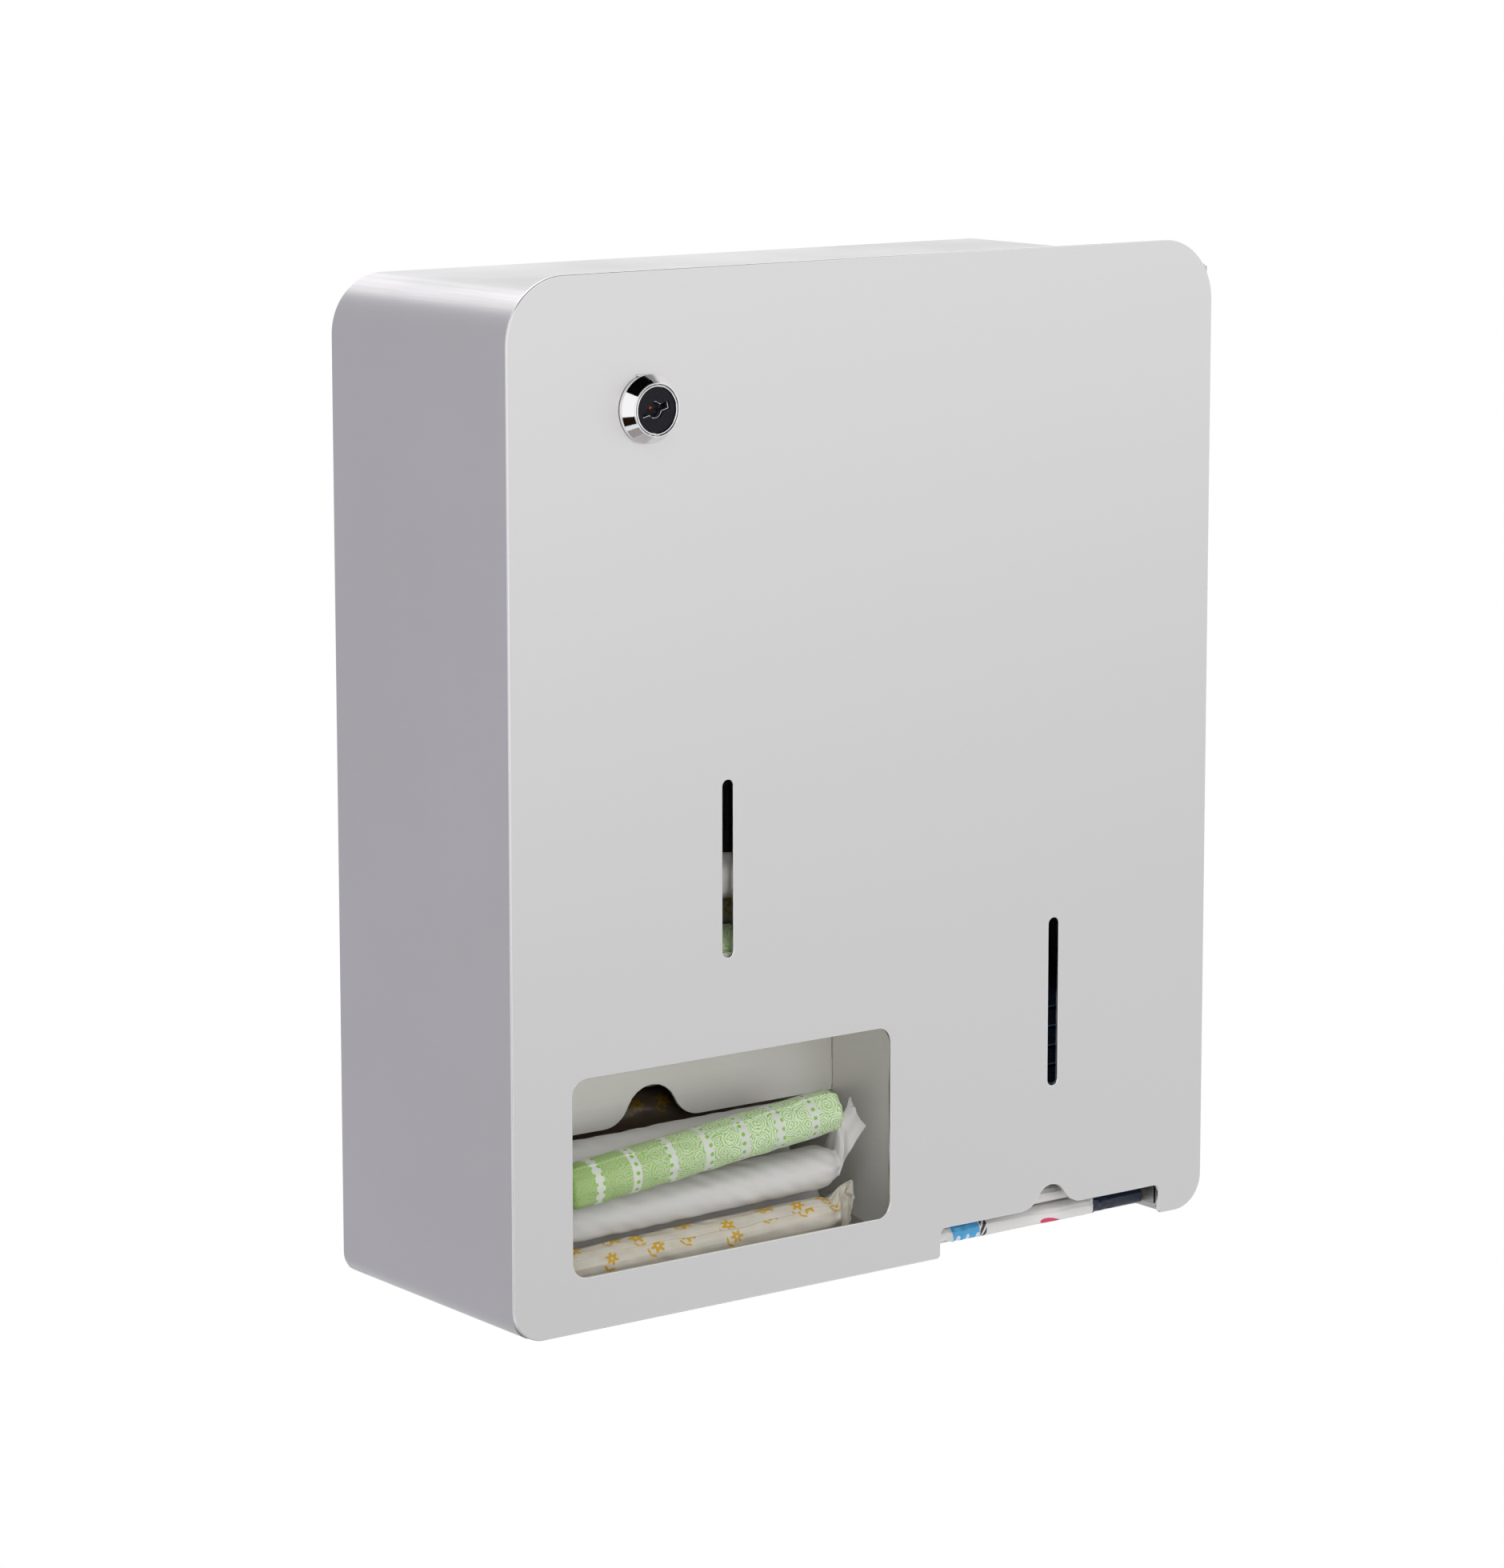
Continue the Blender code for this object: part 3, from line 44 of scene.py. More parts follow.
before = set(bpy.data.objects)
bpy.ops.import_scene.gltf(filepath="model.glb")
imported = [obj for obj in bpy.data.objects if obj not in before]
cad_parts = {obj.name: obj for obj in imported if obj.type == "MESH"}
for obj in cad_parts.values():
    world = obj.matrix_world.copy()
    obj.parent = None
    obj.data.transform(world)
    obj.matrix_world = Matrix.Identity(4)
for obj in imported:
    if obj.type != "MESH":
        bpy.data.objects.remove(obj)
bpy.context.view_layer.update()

import math
from functools import partial

import bmesh
import bpy
import numpy as np
from bpy.props import FloatProperty, FloatVectorProperty, IntProperty, PointerProperty
from mathutils import Matrix, geometry

MM = 0.001


# Colour and nodes

def linear(code):
    """An sRGB hex colour as linear red, green and blue."""
    channels = np.array([int(code[i:i + 2], 16) for i in (1, 3, 5)]) / 255
    return tuple(np.where(channels <= 0.04045, channels / 12.92, ((channels + 0.055) / 1.055) ** 2.4))


def feed(tree, socket, value):
    """Give a socket a value, or link it to a socket or to a node's first output in use."""
    if isinstance(value, bpy.types.Node):
        value = next(output for output in value.outputs if output.enabled)
    if isinstance(value, bpy.types.NodeSocket):
        tree.links.new(value, socket)
    else:
        socket.default_value = (*value, 1) if socket.type == "RGBA" else value


def add(tree, kind, *values, **named):
    """Add one node, with values for its inputs in use in their order, or by name.

    The kind's second word is the node's operation or data type. A name with a capital is an
    input's, with _ for each space. The others are settings.
    """
    kind, *form = kind.split()
    made = tree.nodes.new("ShaderNode" + kind)
    if form:
        setattr(made, "data_type" if kind == "Mix" else "operation", form[0])
    inputs = {name: value for name, value in named.items() if name[0].isupper()}
    for name in named.keys() - inputs.keys():
        setattr(made, name, named[name])
    for socket, value in zip([socket for socket in made.inputs if socket.enabled], values):
        feed(tree, socket, value)
    for name, value in inputs.items():
        feed(tree, made.inputs[name.replace("_", " ")], value)
    return made


def join(made, **inputs):
    """Feed a material's shader by its inputs' names, with _ for each space."""
    shader = made.node_tree.nodes["Principled BSDF"]
    for name, value in inputs.items():
        feed(made.node_tree, shader.inputs[name.replace("_", " ")], value)
    return made


def new_material(name, colour, roughness, metallic=0.0, **constants):
    """A material whose constants stand on its shader's own sockets, and what adds its nodes."""
    made = bpy.data.materials.new(name)
    made.use_nodes = True
    join(made, Base_Color=colour, Roughness=roughness, Metallic=metallic, **constants)
    return made, partial(add, made.node_tree)


# Shapes

def directions(count, way=1):
    """Unit directions all round as (cosine, sine), counter-clockwise if way is 1."""
    angle = np.linspace(0, way * math.tau, count, endpoint=False)
    return np.stack([np.cos(angle), np.sin(angle)], 1)


def unit(vectors):
    """Vectors brought to length 1."""
    return vectors / np.linalg.norm(vectors, axis=-1, keepdims=True)


def run_of(points):
    """Distance along a line at each of its points."""
    return np.concatenate([[0], np.cumsum(np.hypot(*np.diff(points, axis=0).T))])


def rounded(corners, steps=8, support=0.5 * MM, closed=True):
    """Straight runs joined by arcs, through corners given as (x, z, radius).

    The outward normal is on the right of the way that the outline runs. At a corner it turns
    by the corner's angle times t, t from 0 to 1, and the arc's point is the arc's centre plus
    or minus the radius times that normal. A short straight run beside each arc, at most 0.45
    of the free length, keeps the flat next to it flat in shading. Returns points and normals.
    """
    corner = np.array(corners, float)
    here, radius = corner[:, :2], corner[:, 2]
    run = np.roll(here, -1, axis=0) - here
    length = np.hypot(run[:, 0], run[:, 1])
    along = run / length[:, None]
    if not closed:
        along[-1] = along[-2]
    before = np.roll(along, 1, axis=0)
    if not closed:
        before[0] = along[0]
    turn = np.arctan2(before[:, 0] * along[:, 1] - before[:, 1] * along[:, 0], (before * along).sum(1))
    setback = radius * np.tan(np.abs(turn) / 2)
    free = length - setback - np.roll(setback, -1)
    room = np.clip(free * 0.45, 0, support)
    angle = turn[:, None] * np.linspace(0, 1, steps + 1)
    right = np.stack([before[:, 1], -before[:, 0]], 1)
    normal = np.stack([right[:, :1] * np.cos(angle) - right[:, 1:] * np.sin(angle),
                       right[:, :1] * np.sin(angle) + right[:, 1:] * np.cos(angle)], -1)
    reach = (np.sign(turn) * radius)[:, None]
    centre = here - before * setback[:, None] - right * reach
    point = centre[:, None] + normal * reach[:, None]
    point = np.concatenate([point[:, :1] - (before * np.roll(room, 1)[:, None])[:, None], point,
                            point[:, -1:] + (along * room[:, None])[:, None]], 1)
    normal = np.concatenate([normal[:, :1], normal, normal[:, -1:]], 1)
    if not closed:
        point[0], point[-1] = here[0], here[-1]
    point, normal = point.reshape(-1, 2), normal.reshape(-1, 2)
    keep = np.hypot(*(point - np.roll(point, 1, axis=0)).T) > 1e-4 * MM
    keep[0] = True
    return point[keep], normal[keep]


def grid(points, closed=False, uv=None, finish=0):
    """A surface over a rows by columns array of points, closed round its columns if asked."""
    rows, columns = points.shape[:2]
    row, column = np.meshgrid(np.arange(rows - 1), np.arange(columns if closed else columns - 1),
                              indexing="ij")
    row, column = row.ravel(), column.ravel()
    after = (column + 1) % columns
    faces = np.stack([row * columns + column, row * columns + after,
                      (row + 1) * columns + after, (row + 1) * columns + column], 1)
    part = {"points": points.reshape(-1, 3), "faces": faces.tolist(), "finish": finish, "smooth": True}
    if uv is not None:
        part["uv"] = np.stack([uv[row, column], uv[row, column + 1], uv[row + 1, column + 1],
                               uv[row + 1, column]], 1).reshape(-1, 2)
    return part


def cap(points):
    """One flat face over a closed row of points."""
    return {"points": points, "faces": [list(range(len(points)))], "finish": 0, "smooth": False}


def filled(loops, depth):
    """Flat faces at one depth between an outer loop and the holes in it."""
    faces = geometry.tessellate_polygon([[(x, z, 0) for x, z in loop] for loop in loops])
    points = np.concatenate(loops)
    points = np.column_stack([points[:, 0], np.full(len(points), depth), points[:, 1]])
    return {"points": points, "faces": [list(face) for face in faces], "finish": 0, "smooth": False}


def bands(outline, offset, depth):
    """Rows of points round an outline, each at its offset along the normal and its depth."""
    point, normal = outline
    ring = point[None] + normal[None] * offset[:, None, None]
    return np.stack([ring[..., 0], np.broadcast_to(depth[:, None], ring.shape[:2]), ring[..., 1]], -1)


def cut_sheet(outlines, front, back, edge, rim=0):
    """A flat sheet across Y, pierced by every outline after the first.

    Its rim is a profile carried along each outline: a quarter round, the cut edge and a
    quarter round again, point = outline - normal * inset, at the profile's depth.
    """
    turn = np.linspace(0, math.pi / 2, 4)
    inset, sink = edge * (1 - np.sin(turn)), edge * (1 - np.cos(turn))
    offset = -np.concatenate([inset, inset[::-1]])
    depth = np.concatenate([front + sink, back - sink[::-1]])
    parts = [grid(bands(outline, offset, depth), closed=True, finish=rim) for outline in outlines]
    loops = [point - normal * edge for point, normal in outlines]
    return parts + [filled(loops, front), filled(loops, back)]


def carried(path, section, front=None):
    """A closed section carried along an open path in the XZ plane.

    The section's first number is the distance from the path along its outward normal, and
    its second is the depth. front gives for each path point how far the front half is cut back.
    """
    points = bands(path, section[:, 0], section[:, 1]).swapaxes(0, 1)
    if front is not None:
        points[..., 1] += np.where(section[:, 1] < section[:, 1].mean(), front[:, None], 0)
    return [grid(points, closed=True), cap(points[0]), cap(points[-1])]


def carried_rim(outline, front, back, width):
    """A thin wall along a hole's edge: a rectangle with a rounded front carried round the outline."""
    crisp, soft = 0.02 * MM, 0.12 * MM
    section = rounded([(0, back, crisp), (0, front, soft), (width, front, soft), (width, back, crisp)],
                      steps=3, support=crisp)[0]
    points = bands(outline, section[:, 0], section[:, 1])
    return grid(np.concatenate([points, points[:1]]), closed=True)


def lathed(profile, centre, steps=96, finish=0, closed=True):
    """A (radius, depth) profile turned round the Y axis through centre: x = radius cos a, z = radius sin a."""
    cos, sin = directions(steps).T
    radius, depth = profile[:, :1], np.broadcast_to(profile[:, 1:], (len(profile), steps))
    points = np.stack([centre[0] + radius * cos, centre[1] + depth, centre[2] + radius * sin], -1)
    if closed:
        points = np.concatenate([points, points[:1]])
    return grid(points, closed=True, finish=finish)


def place_object(name, data):
    """Put a new object with its data into the scene."""
    made = bpy.data.objects.new(name, data)
    bpy.context.scene.collection.objects.link(made)
    return made


def make_piece(name, parts, finishes, body, replaces):
    """Join parts into one closed mesh at the origin and hang it on its body."""
    faces, uvs, marks, smooth, base = [], [], [], [], 0
    for part in parts:
        rows = part["faces"]
        faces += [[base + i for i in row] for row in rows]
        uvs.append(part.get("uv", np.zeros((sum(map(len, rows)), 2))))
        marks += [part["finish"]] * len(rows)
        smooth += [part["smooth"]] * len(rows)
        base += len(part["points"])
    mesh = bpy.data.meshes.new(name)
    mesh.from_pydata(np.concatenate([part["points"] for part in parts]).tolist(), [], faces)
    mesh.uv_layers.new(name="UVMap").data.foreach_set("uv", np.concatenate(uvs).ravel())
    mesh.polygons.foreach_set("material_index", marks)
    mesh.polygons.foreach_set("use_smooth", smooth)
    shape = bmesh.new()
    shape.from_mesh(mesh)
    bmesh.ops.remove_doubles(shape, verts=shape.verts, dist=0.001 * MM)
    bmesh.ops.recalc_face_normals(shape, faces=shape.faces)
    shape.to_mesh(mesh)
    shape.free()
    made = place_object(name, mesh)
    for finish in finishes:
        mesh.materials.append(finish)
    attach(made, body)
    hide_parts(*replaces)
    return made


def dress(nodes, finish):
    """Give solids that stay a finish in all their slots."""
    for name in nodes:
        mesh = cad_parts[name].data
        mesh.materials.clear()
        mesh.materials.append(finish)


# Places read from the frame

DOOR_LOW, DOOR_HIGH = np.array(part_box("door_panel"))
CASE_LOW, CASE_HIGH = np.array(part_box("case_wrap"))
PAD_LOW, PAD_HIGH = np.array(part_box("pad_01"))
LOCK_LOW, LOCK_HIGH = np.array(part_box("lock_housing"))
LEFT, DOOR_FRONT, BOTTOM = DOOR_LOW
RIGHT, _, TOP = DOOR_HIGH
PAD_CENTRE = (PAD_LOW[0] + PAD_HIGH[0]) / 2
TAMPON_BAY = (LEFT + 9.3 * MM, PAD_LOW[0] - 16.1 * MM)
TAMPON_CENTRE = sum(TAMPON_BAY) / 2
LOCK_CENTRE = np.array([(LOCK_LOW[0] + LOCK_HIGH[0]) / 2, DOOR_FRONT, (LOCK_LOW[2] + LOCK_HIGH[2]) / 2])
PLATE = 1.2 * MM
HALF_WALL = 0.5 * MM
CASE_BEND = 19.5 * MM


# Settings

def colour_setting(name, description, code):
    """A colour that the panel shows."""
    return FloatVectorProperty(name=name, description=description, subtype="COLOR", size=3, min=0, max=1,
                               default=linear(code))


class SteelSettings(bpy.types.PropertyGroup):
    """The sheet and its grain."""
    face_colour: colour_setting("Sheet colour", "Reflected colour of the satin sheet", "#C1BFC1")
    roughness: FloatProperty(name="Satin roughness", description="Spread of the satin reflection",
                             min=0.05, max=1, default=0.33)
    grain: FloatProperty(name="Grain spacing", description="Distance between brush lines",
                         unit="LENGTH", min=0.1 * MM, max=5 * MM, default=0.7 * MM)
    edge: FloatProperty(name="Edge radius", description="Rounding of the cut edges",
                        unit="LENGTH", min=0.05 * MM, max=0.5 * MM, default=0.3 * MM)


class LockSettings(bpy.types.PropertyGroup):
    """The cam lock's face."""
    chrome: colour_setting("Chrome", "Reflected colour of the plating", "#F4F3F5")
    keyway_turn: FloatProperty(name="Keyway tilt", description="Turn of the keyway from level",
                               subtype="ANGLE", default=math.radians(15))


class WrapperSettings(bpy.types.PropertyGroup):
    """The wrapped stock."""
    paper: colour_setting("White paper", "Colour of the plain tampon wrapper", "#C9C7C5")
    green: colour_setting("Green ink", "Print on the green tampon wrapper", "#74AA38")
    yellow: colour_setting("Yellow ink", "Print on the film wrapper", "#B8901A")
    blue: colour_setting("Blue ink", "Band on the pad's pouch", "#4CA6D8")
    wrinkle: FloatProperty(name="Wrinkle height", description="Height of the wrappers' wrinkles",
                           unit="LENGTH", min=0, max=1 * MM, default=0.13 * MM)
    seed: IntProperty(name="Seed", description="Start of the wrinkles' random phases", default=7)


class StageSettings(bpy.types.PropertyGroup):
    """Floor and the soft light all round."""
    floor_drop: FloatProperty(name="Floor drop", unit="LENGTH", default=1.2,
                              description="Distance from the dispenser's middle to the floor")
    ambient: FloatProperty(name="Ambient level", description="Strength of the soft light all round",
                           min=0, max=2, default=0.72)


# Finishes

def satin_stainless(name, colour, roughness, grain, contrast=1.0, metallic=1.0):
    """Stainless steel sheet ground with a fine belt along the horizontal.

    The belt leaves level lines that spread the reflection up and down, and handling leaves
    faint cloudy patches. The lines are a hundredth of a millimetre wide, so they are drawn
    as coarse as one pixel to show at all. A sheet that isn't ground scatters more, which
    metallic below 1 stands for.
    """
    made, node = new_material(name, colour, roughness, metallic)
    place = node("TexCoord").outputs["Object"]
    stretched = node("Mapping", Vector=place, Scale=(14, 14, 1 / grain))
    lines = node("TexNoise", Vector=stretched, Scale=1.0, Detail=5.0, Roughness=0.6)
    clouds = node("TexNoise", Vector=place, Scale=16.0, Detail=4.0)
    spread = 0.05 * contrast
    gloss = node("MapRange", lines, 0.3, 0.7, roughness - spread, roughness + spread)
    worn = node("MapRange", clouds, 0.35, 0.7, 0.0, 0.04)
    rough = node("Math ADD", gloss, worn)
    shade = node("MapRange", clouds, 0.3, 0.75, 1.0, 0.965)
    streak = node("MapRange", lines, 0.3, 0.7, 1 - 0.02 * contrast, 1.0)
    tone = node("Math MULTIPLY", shade, streak)
    toned = node("VectorMath SCALE", colour, tone)
    bump = node("Bump", Height=lines, Strength=1.0, Distance=0.003 * MM * contrast)
    return join(made, Base_Color=toned, Roughness=rough, Normal=bump)


def bright_chrome(colour):
    """Chrome plate on polished zinc: a mirror with the faintest orange peel from the casting."""
    made, node = new_material("bright_chrome_plate", colour, 0.05, 1.0)
    peel = node("TexNoise", Vector=node("TexCoord").outputs["Object"], Scale=900.0, Detail=2.0)
    rough = node("MapRange", peel, 0, 1, 0.03, 0.10)
    bump = node("Bump", Height=peel, Strength=1.0, Distance=0.003 * MM)
    return join(made, Roughness=rough, Normal=bump)


def black_face():
    """Glossy black plastic cap, moulded, with fine dust and rubbing from the key."""
    colour = linear("#15141A")
    made, node = new_material("moulded_black_plastic", colour, 0.22, Specular_IOR_Level=0.15)
    dust = node("TexNoise", Vector=node("TexCoord").outputs["Object"], Scale=1400.0, Detail=4.0)
    rough = node("MapRange", dust, 0, 1, 0.16, 0.36)
    tone = node("MapRange", dust, 0.45, 0.8, 1.0, 1.9)
    return join(made, Base_Color=node("VectorMath SCALE", colour, tone), Roughness=rough)


def zinc_plate():
    """Zinc-plated steel: pale blue-grey, with the soft spangle of the plating bath."""
    colour = linear("#C9CCD2")
    made, node = new_material("zinc_plated_steel", colour, 0.34, 1.0)
    spangle = node("TexVoronoi", Vector=node("TexCoord").outputs["Object"], Scale=700.0)
    tone = node("MapRange", spangle, 0, 1, 0.86, 1.04)
    rough = node("MapRange", spangle, 0, 1, 0.28, 0.44)
    return join(made, Base_Color=node("VectorMath SCALE", colour, tone), Roughness=rough)


def copper_pin():
    """The brass and copper tumblers deep in the keyway, tarnished."""
    made, node = new_material("tarnished_copper", linear("#A8502A"), 0.3, 1.0)
    stain = node("TexNoise", Vector=node("TexCoord").outputs["Object"], Scale=900.0)
    return join(made, Roughness=node("MapRange", stain, 0, 1, 0.2, 0.5))


def floor_paint():
    """Pale matt floor paint, rolled on, so its gloss is a little uneven."""
    made, node = new_material("pale_floor_paint", linear("#F4F4F3"), 0.6)
    speck = node("TexNoise", Vector=node("TexCoord").outputs["Object"], Scale=90.0, Detail=3.0)
    return join(made, Roughness=node("MapRange", speck, 0, 1, 0.5, 0.7))


def paper_grain(made, node, vector, scale, distance, low, high):
    """Fibre relief and uneven gloss for a wrapper: noise with a few fibres to a millimetre."""
    fibre = node("TexNoise", Vector=vector, Scale=scale, Detail=4.0, Roughness=0.65)
    rough = node("MapRange", fibre, 0, 1, low, high)
    join(made, Roughness=rough, Normal=node("Bump", Height=fibre, Strength=1.0, Distance=distance))
    return fibre


def white_wrapper(settings):
    """Plain tissue-backed paper, soft and slightly see-through, so it scatters light."""
    made, node = new_material("bleached_wrapping_paper", settings.paper, 0.55,
                              Subsurface_Weight=0.15, Subsurface_Scale=1.0 * MM)
    place = node("TexCoord").outputs["Object"]
    fibre = paper_grain(made, node, place, 900.0, 0.02 * MM, 0.45, 0.65)
    clouds = node("TexNoise", Vector=place, Scale=60.0, Detail=2.0)
    tone = node("Mix RGBA", clouds, settings.paper, linear("#C6C3BD"))
    speck = node("MapRange", fibre, 0, 1, 0.96, 1.03)
    return join(made, Base_Color=node("VectorMath SCALE", tone, speck))


def surface_mm(node):
    """The piece's own UV map in millimetres: X along the piece, Y round it."""
    return node("VectorMath SCALE", node("TexCoord").outputs["UV"], 1 / MM)


def green_wrapper(settings):
    """Paper printed in green: panels of nested curls with plain strips between them.

    The curls are contour lines round scattered points 6 mm apart, a line every millimetre.
    Panels repeat every 15 mm, and drops 3.4 mm apart fill the strips between them. Towards
    the left end the tint between the curls deepens.
    """
    ground, spacing, repeat = linear("#BFC2B6"), 6, 15
    made, node = new_material("green_printed_paper", ground, 0.5)
    at = surface_mm(node)
    paper_grain(made, node, at, 0.9, 0.015 * MM, 0.4, 0.6)
    bend = node("TexNoise", Vector=at, Scale=0.35, Detail=2.0).outputs["Color"]
    bent = node("VectorMath ADD", at, node("VectorMath SCALE", bend, 3.0))
    cells = node("TexVoronoi", Vector=bent, Scale=1 / spacing, Randomness=0.75, voronoi_dimensions="2D")
    phase = node("Math MULTIPLY", cells, spacing * math.tau)
    curl = node("MapRange", node("Math SINE", phase), 0.35, 0.85)
    along = node("SeparateXYZ", at).outputs["X"]
    run = node("Math PINGPONG", node("Math ADD", along, 3.0), repeat / 2)
    panel = node("MapRange", run, 1.6, 2.0)
    strip = node("Math SUBTRACT", 1.0, panel)
    drops = node("TexVoronoi", Vector=at, Scale=1 / 3.4, Randomness=0.0, voronoi_dimensions="2D")
    drop = node("MapRange", drops, 0.25, 0.2)
    ink = node("Math ADD", node("Math MULTIPLY", curl, panel), node("Math MULTIPLY", drop, strip))
    # Darker and greener between the curls towards the left end.
    depth = node("MapRange", along, 75.0, 0.0)
    left_tint = node("Mix RGBA", depth, linear("#C0CBAE"), linear("#8FA068"))
    tint = node("Mix RGBA", panel, ground, left_tint)
    return join(made, Base_Color=node("Mix RGBA", ink, tint, settings.green))


def floral_wrapper(settings, name="printed_cream_film", film="#C5C0B5", dark="#ADA593", strength=1.0):
    """Translucent film printed with scattered yellow blossoms about 6 mm across.

    A blossom is drawn where the distance from its middle is under a radius that swings
    six times round. A small disc in its middle is left bare, and two oval leaves lie below.
    """
    made, node = new_material(name, linear(film), 0.32, Subsurface_Weight=0.2, Subsurface_Scale=1.5 * MM)
    at = surface_mm(node)
    paper_grain(made, node, at, 0.5, 0.03 * MM, 0.22, 0.42)
    cells = node("TexVoronoi", Vector=at, Scale=1 / 16, Randomness=0.5, voronoi_dimensions="2D")
    away = node("VectorMath SUBTRACT", at, cells.outputs["Position"])
    chance = node("SeparateColor", cells.outputs["Color"])
    turn = node("Math MULTIPLY", chance.outputs["Red"], 1.2)
    parts = node("SeparateXYZ", node("VectorRotate", Vector=away, Angle=turn, rotation_type="Z_AXIS"))
    across = parts.outputs["X"]
    high = node("Math SUBTRACT", parts.outputs["Y"], 0.9)
    angle = node("Math ARCTAN2", high, across)
    squares = [node("Math POWER", part, 2.0) for part in (across, high)]
    reach = node("Math SQRT", node("Math ADD", *squares))
    petals = node("Math COSINE", node("Math MULTIPLY", angle, 6.0))
    size = node("Math MULTIPLY_ADD", chance.outputs["Green"], 0.9, 2.5)
    limit = node("Math MULTIPLY", node("Math MULTIPLY_ADD", petals, 0.26, 0.84), size)
    blossom = node("MapRange", node("Math SUBTRACT", limit, reach), 0.0, 0.15)
    heart = node("MapRange", reach, 0.5, 0.65)
    flower = node("Math MULTIPLY", blossom, heart)
    low = node("Math ADD", high, 4.1)
    side = node("Math SUBTRACT", node("Math ABSOLUTE", across), 1.2)
    bow = node("Math SUBTRACT", low, node("Math MULTIPLY", side, 0.5))
    scaled = [node("Math MULTIPLY", part, factor) for part, factor in ((side, 0.8), (bow, 1.9))]
    squares = [node("Math POWER", part, 2.0) for part in scaled]
    leaf = node("Math LESS_THAN", node("Math ADD", *squares), 1.0)
    ink = node("Math MAXIMUM", flower, leaf)
    cream = node("Mix RGBA", node("TexNoise", Vector=at, Scale=0.12), linear(film), linear(dark))
    yellow = np.array(settings.yellow) * strength
    return join(made, Base_Color=node("Mix RGBA", ink, cream, yellow))


def pad_pouch(settings):
    """Soft white film, sealed at its ends, with a sky-blue band, charcoal dashes and a small leaf.

    The band runs across the pouch 9 mm from its left end and carries white dots. The right
    end is navy with a sky-blue line.
    """
    film, seam, end = linear("#E0DDDA"), 92.2, 75.0
    made, node = new_material("soft_pouch_film", film, 0.42,
                              Subsurface_Weight=0.15, Subsurface_Scale=1.0 * MM)
    at = surface_mm(node)
    paper_grain(made, node, at, 0.7, 0.02 * MM, 0.34, 0.5)
    parts = node("SeparateXYZ", at)
    along, lap = parts.outputs["X"], parts.outputs["Y"]
    near = {}
    for name, place, centre, half in (("band", along, 15.6, 6.1), ("stripe", along, 23.5, 1.4),
                                      ("line", lap, seam, 0.45)):
        away = node("Math ABSOLUTE", node("Math SUBTRACT", place, centre))
        near[name] = node("Math LESS_THAN", away, half)
    dots = node("TexVoronoi", Vector=at, Scale=1 / 4.2, Randomness=0.0, voronoi_dimensions="2D")
    dot = node("Math LESS_THAN", dots, 0.17)
    dotted = node("Mix RGBA", dot, settings.blue, linear("#D6E4EC"))
    slant = node("Math MULTIPLY", node("Math ADD", lap, along), 0.45)
    dash = node("Math LESS_THAN", node("Math FRACT", slant), 0.62)
    leaf_x = node("Math SUBTRACT", along, 55.0)
    leaf_z = node("Math SUBTRACT", node("Math SUBTRACT", lap, 97.0),
                  node("Math MULTIPLY", leaf_x, 0.12))
    scaled = [node("Math MULTIPLY", part, 1 / half) for part, half in ((leaf_x, 5.0), (leaf_z, 0.95))]
    squares = [node("Math POWER", part, 2.0) for part in scaled]
    leaf = node("Math LESS_THAN", node("Math ADD", *squares), 1.0)
    line = node("Math MULTIPLY", node("Math GREATER_THAN", along, end), near["line"])
    blue = node("Mix RGBA", node("Math SUBTRACT", 1.0, line), settings.blue, dotted)
    skew = node("Math ADD", along, node("Math MULTIPLY", lap, 0.25))
    navy = node("Math GREATER_THAN", skew, 98.5)
    ground = node("Mix RGBA", navy, film, linear("#1D2638"))
    printed = node("Mix RGBA", node("Math MAXIMUM", near["band"], line), ground, blue)
    dashes = node("Math MULTIPLY", near["stripe"], dash)
    for ink, colour in ((dashes, "#3A353A"), (leaf, "#D2335F")):
        printed = node("Mix RGBA", ink, printed, linear(colour))
    return join(made, Base_Color=printed)


# Steelwork

PLAIN_STEEL = ["back_panel", "bottom_panel", "tampon_left_plate", "pad_left_plate", "pad_right_plate",
               "tray_floor", "lock_strike", "hinge_case_leaf", "hinge_door_leaf", "hinge_pin",
               "hinge_rivet_1", "hinge_rivet_2", "hinge_rivet_3"]
RECESS = ["tampon_right_plate", "tampon_baffle"]
ZINC = ["hinge_nut_1", "hinge_nut_2", "hinge_nut_3", "lock_nut", "lock_cam", "lock_washer", "lock_screw"]


def case_path():
    """Middle line of the wrap, from the right foot up, over the top and down to the left foot."""
    left, right = CASE_LOW[0] + HALF_WALL, CASE_HIGH[0] - HALF_WALL
    top, bottom = CASE_HIGH[2] - HALF_WALL, CASE_LOW[2] + HALF_WALL
    foot, flange, end = 4.5 * MM, 14 * MM, 0.1 * MM
    return rounded([(right - flange, bottom, end), (right, bottom, foot), (right, top, CASE_BEND),
                    (left, top, CASE_BEND), (left, bottom, foot + 3.3 * MM), (left + flange, bottom, end)],
                   steps=24, support=1 * MM, closed=False)


def with_rows(path, run, places):
    """The path with more points on its straight runs, at given distances along it."""
    point, normal = path
    every = np.unique(np.concatenate([run, np.clip(places, 0, run[-1])]))
    take = np.stack([np.interp(every, run, column) for column in (*point.T, *normal.T)], 1)
    return (take[:, :2], unit(take[:, 2:])), every


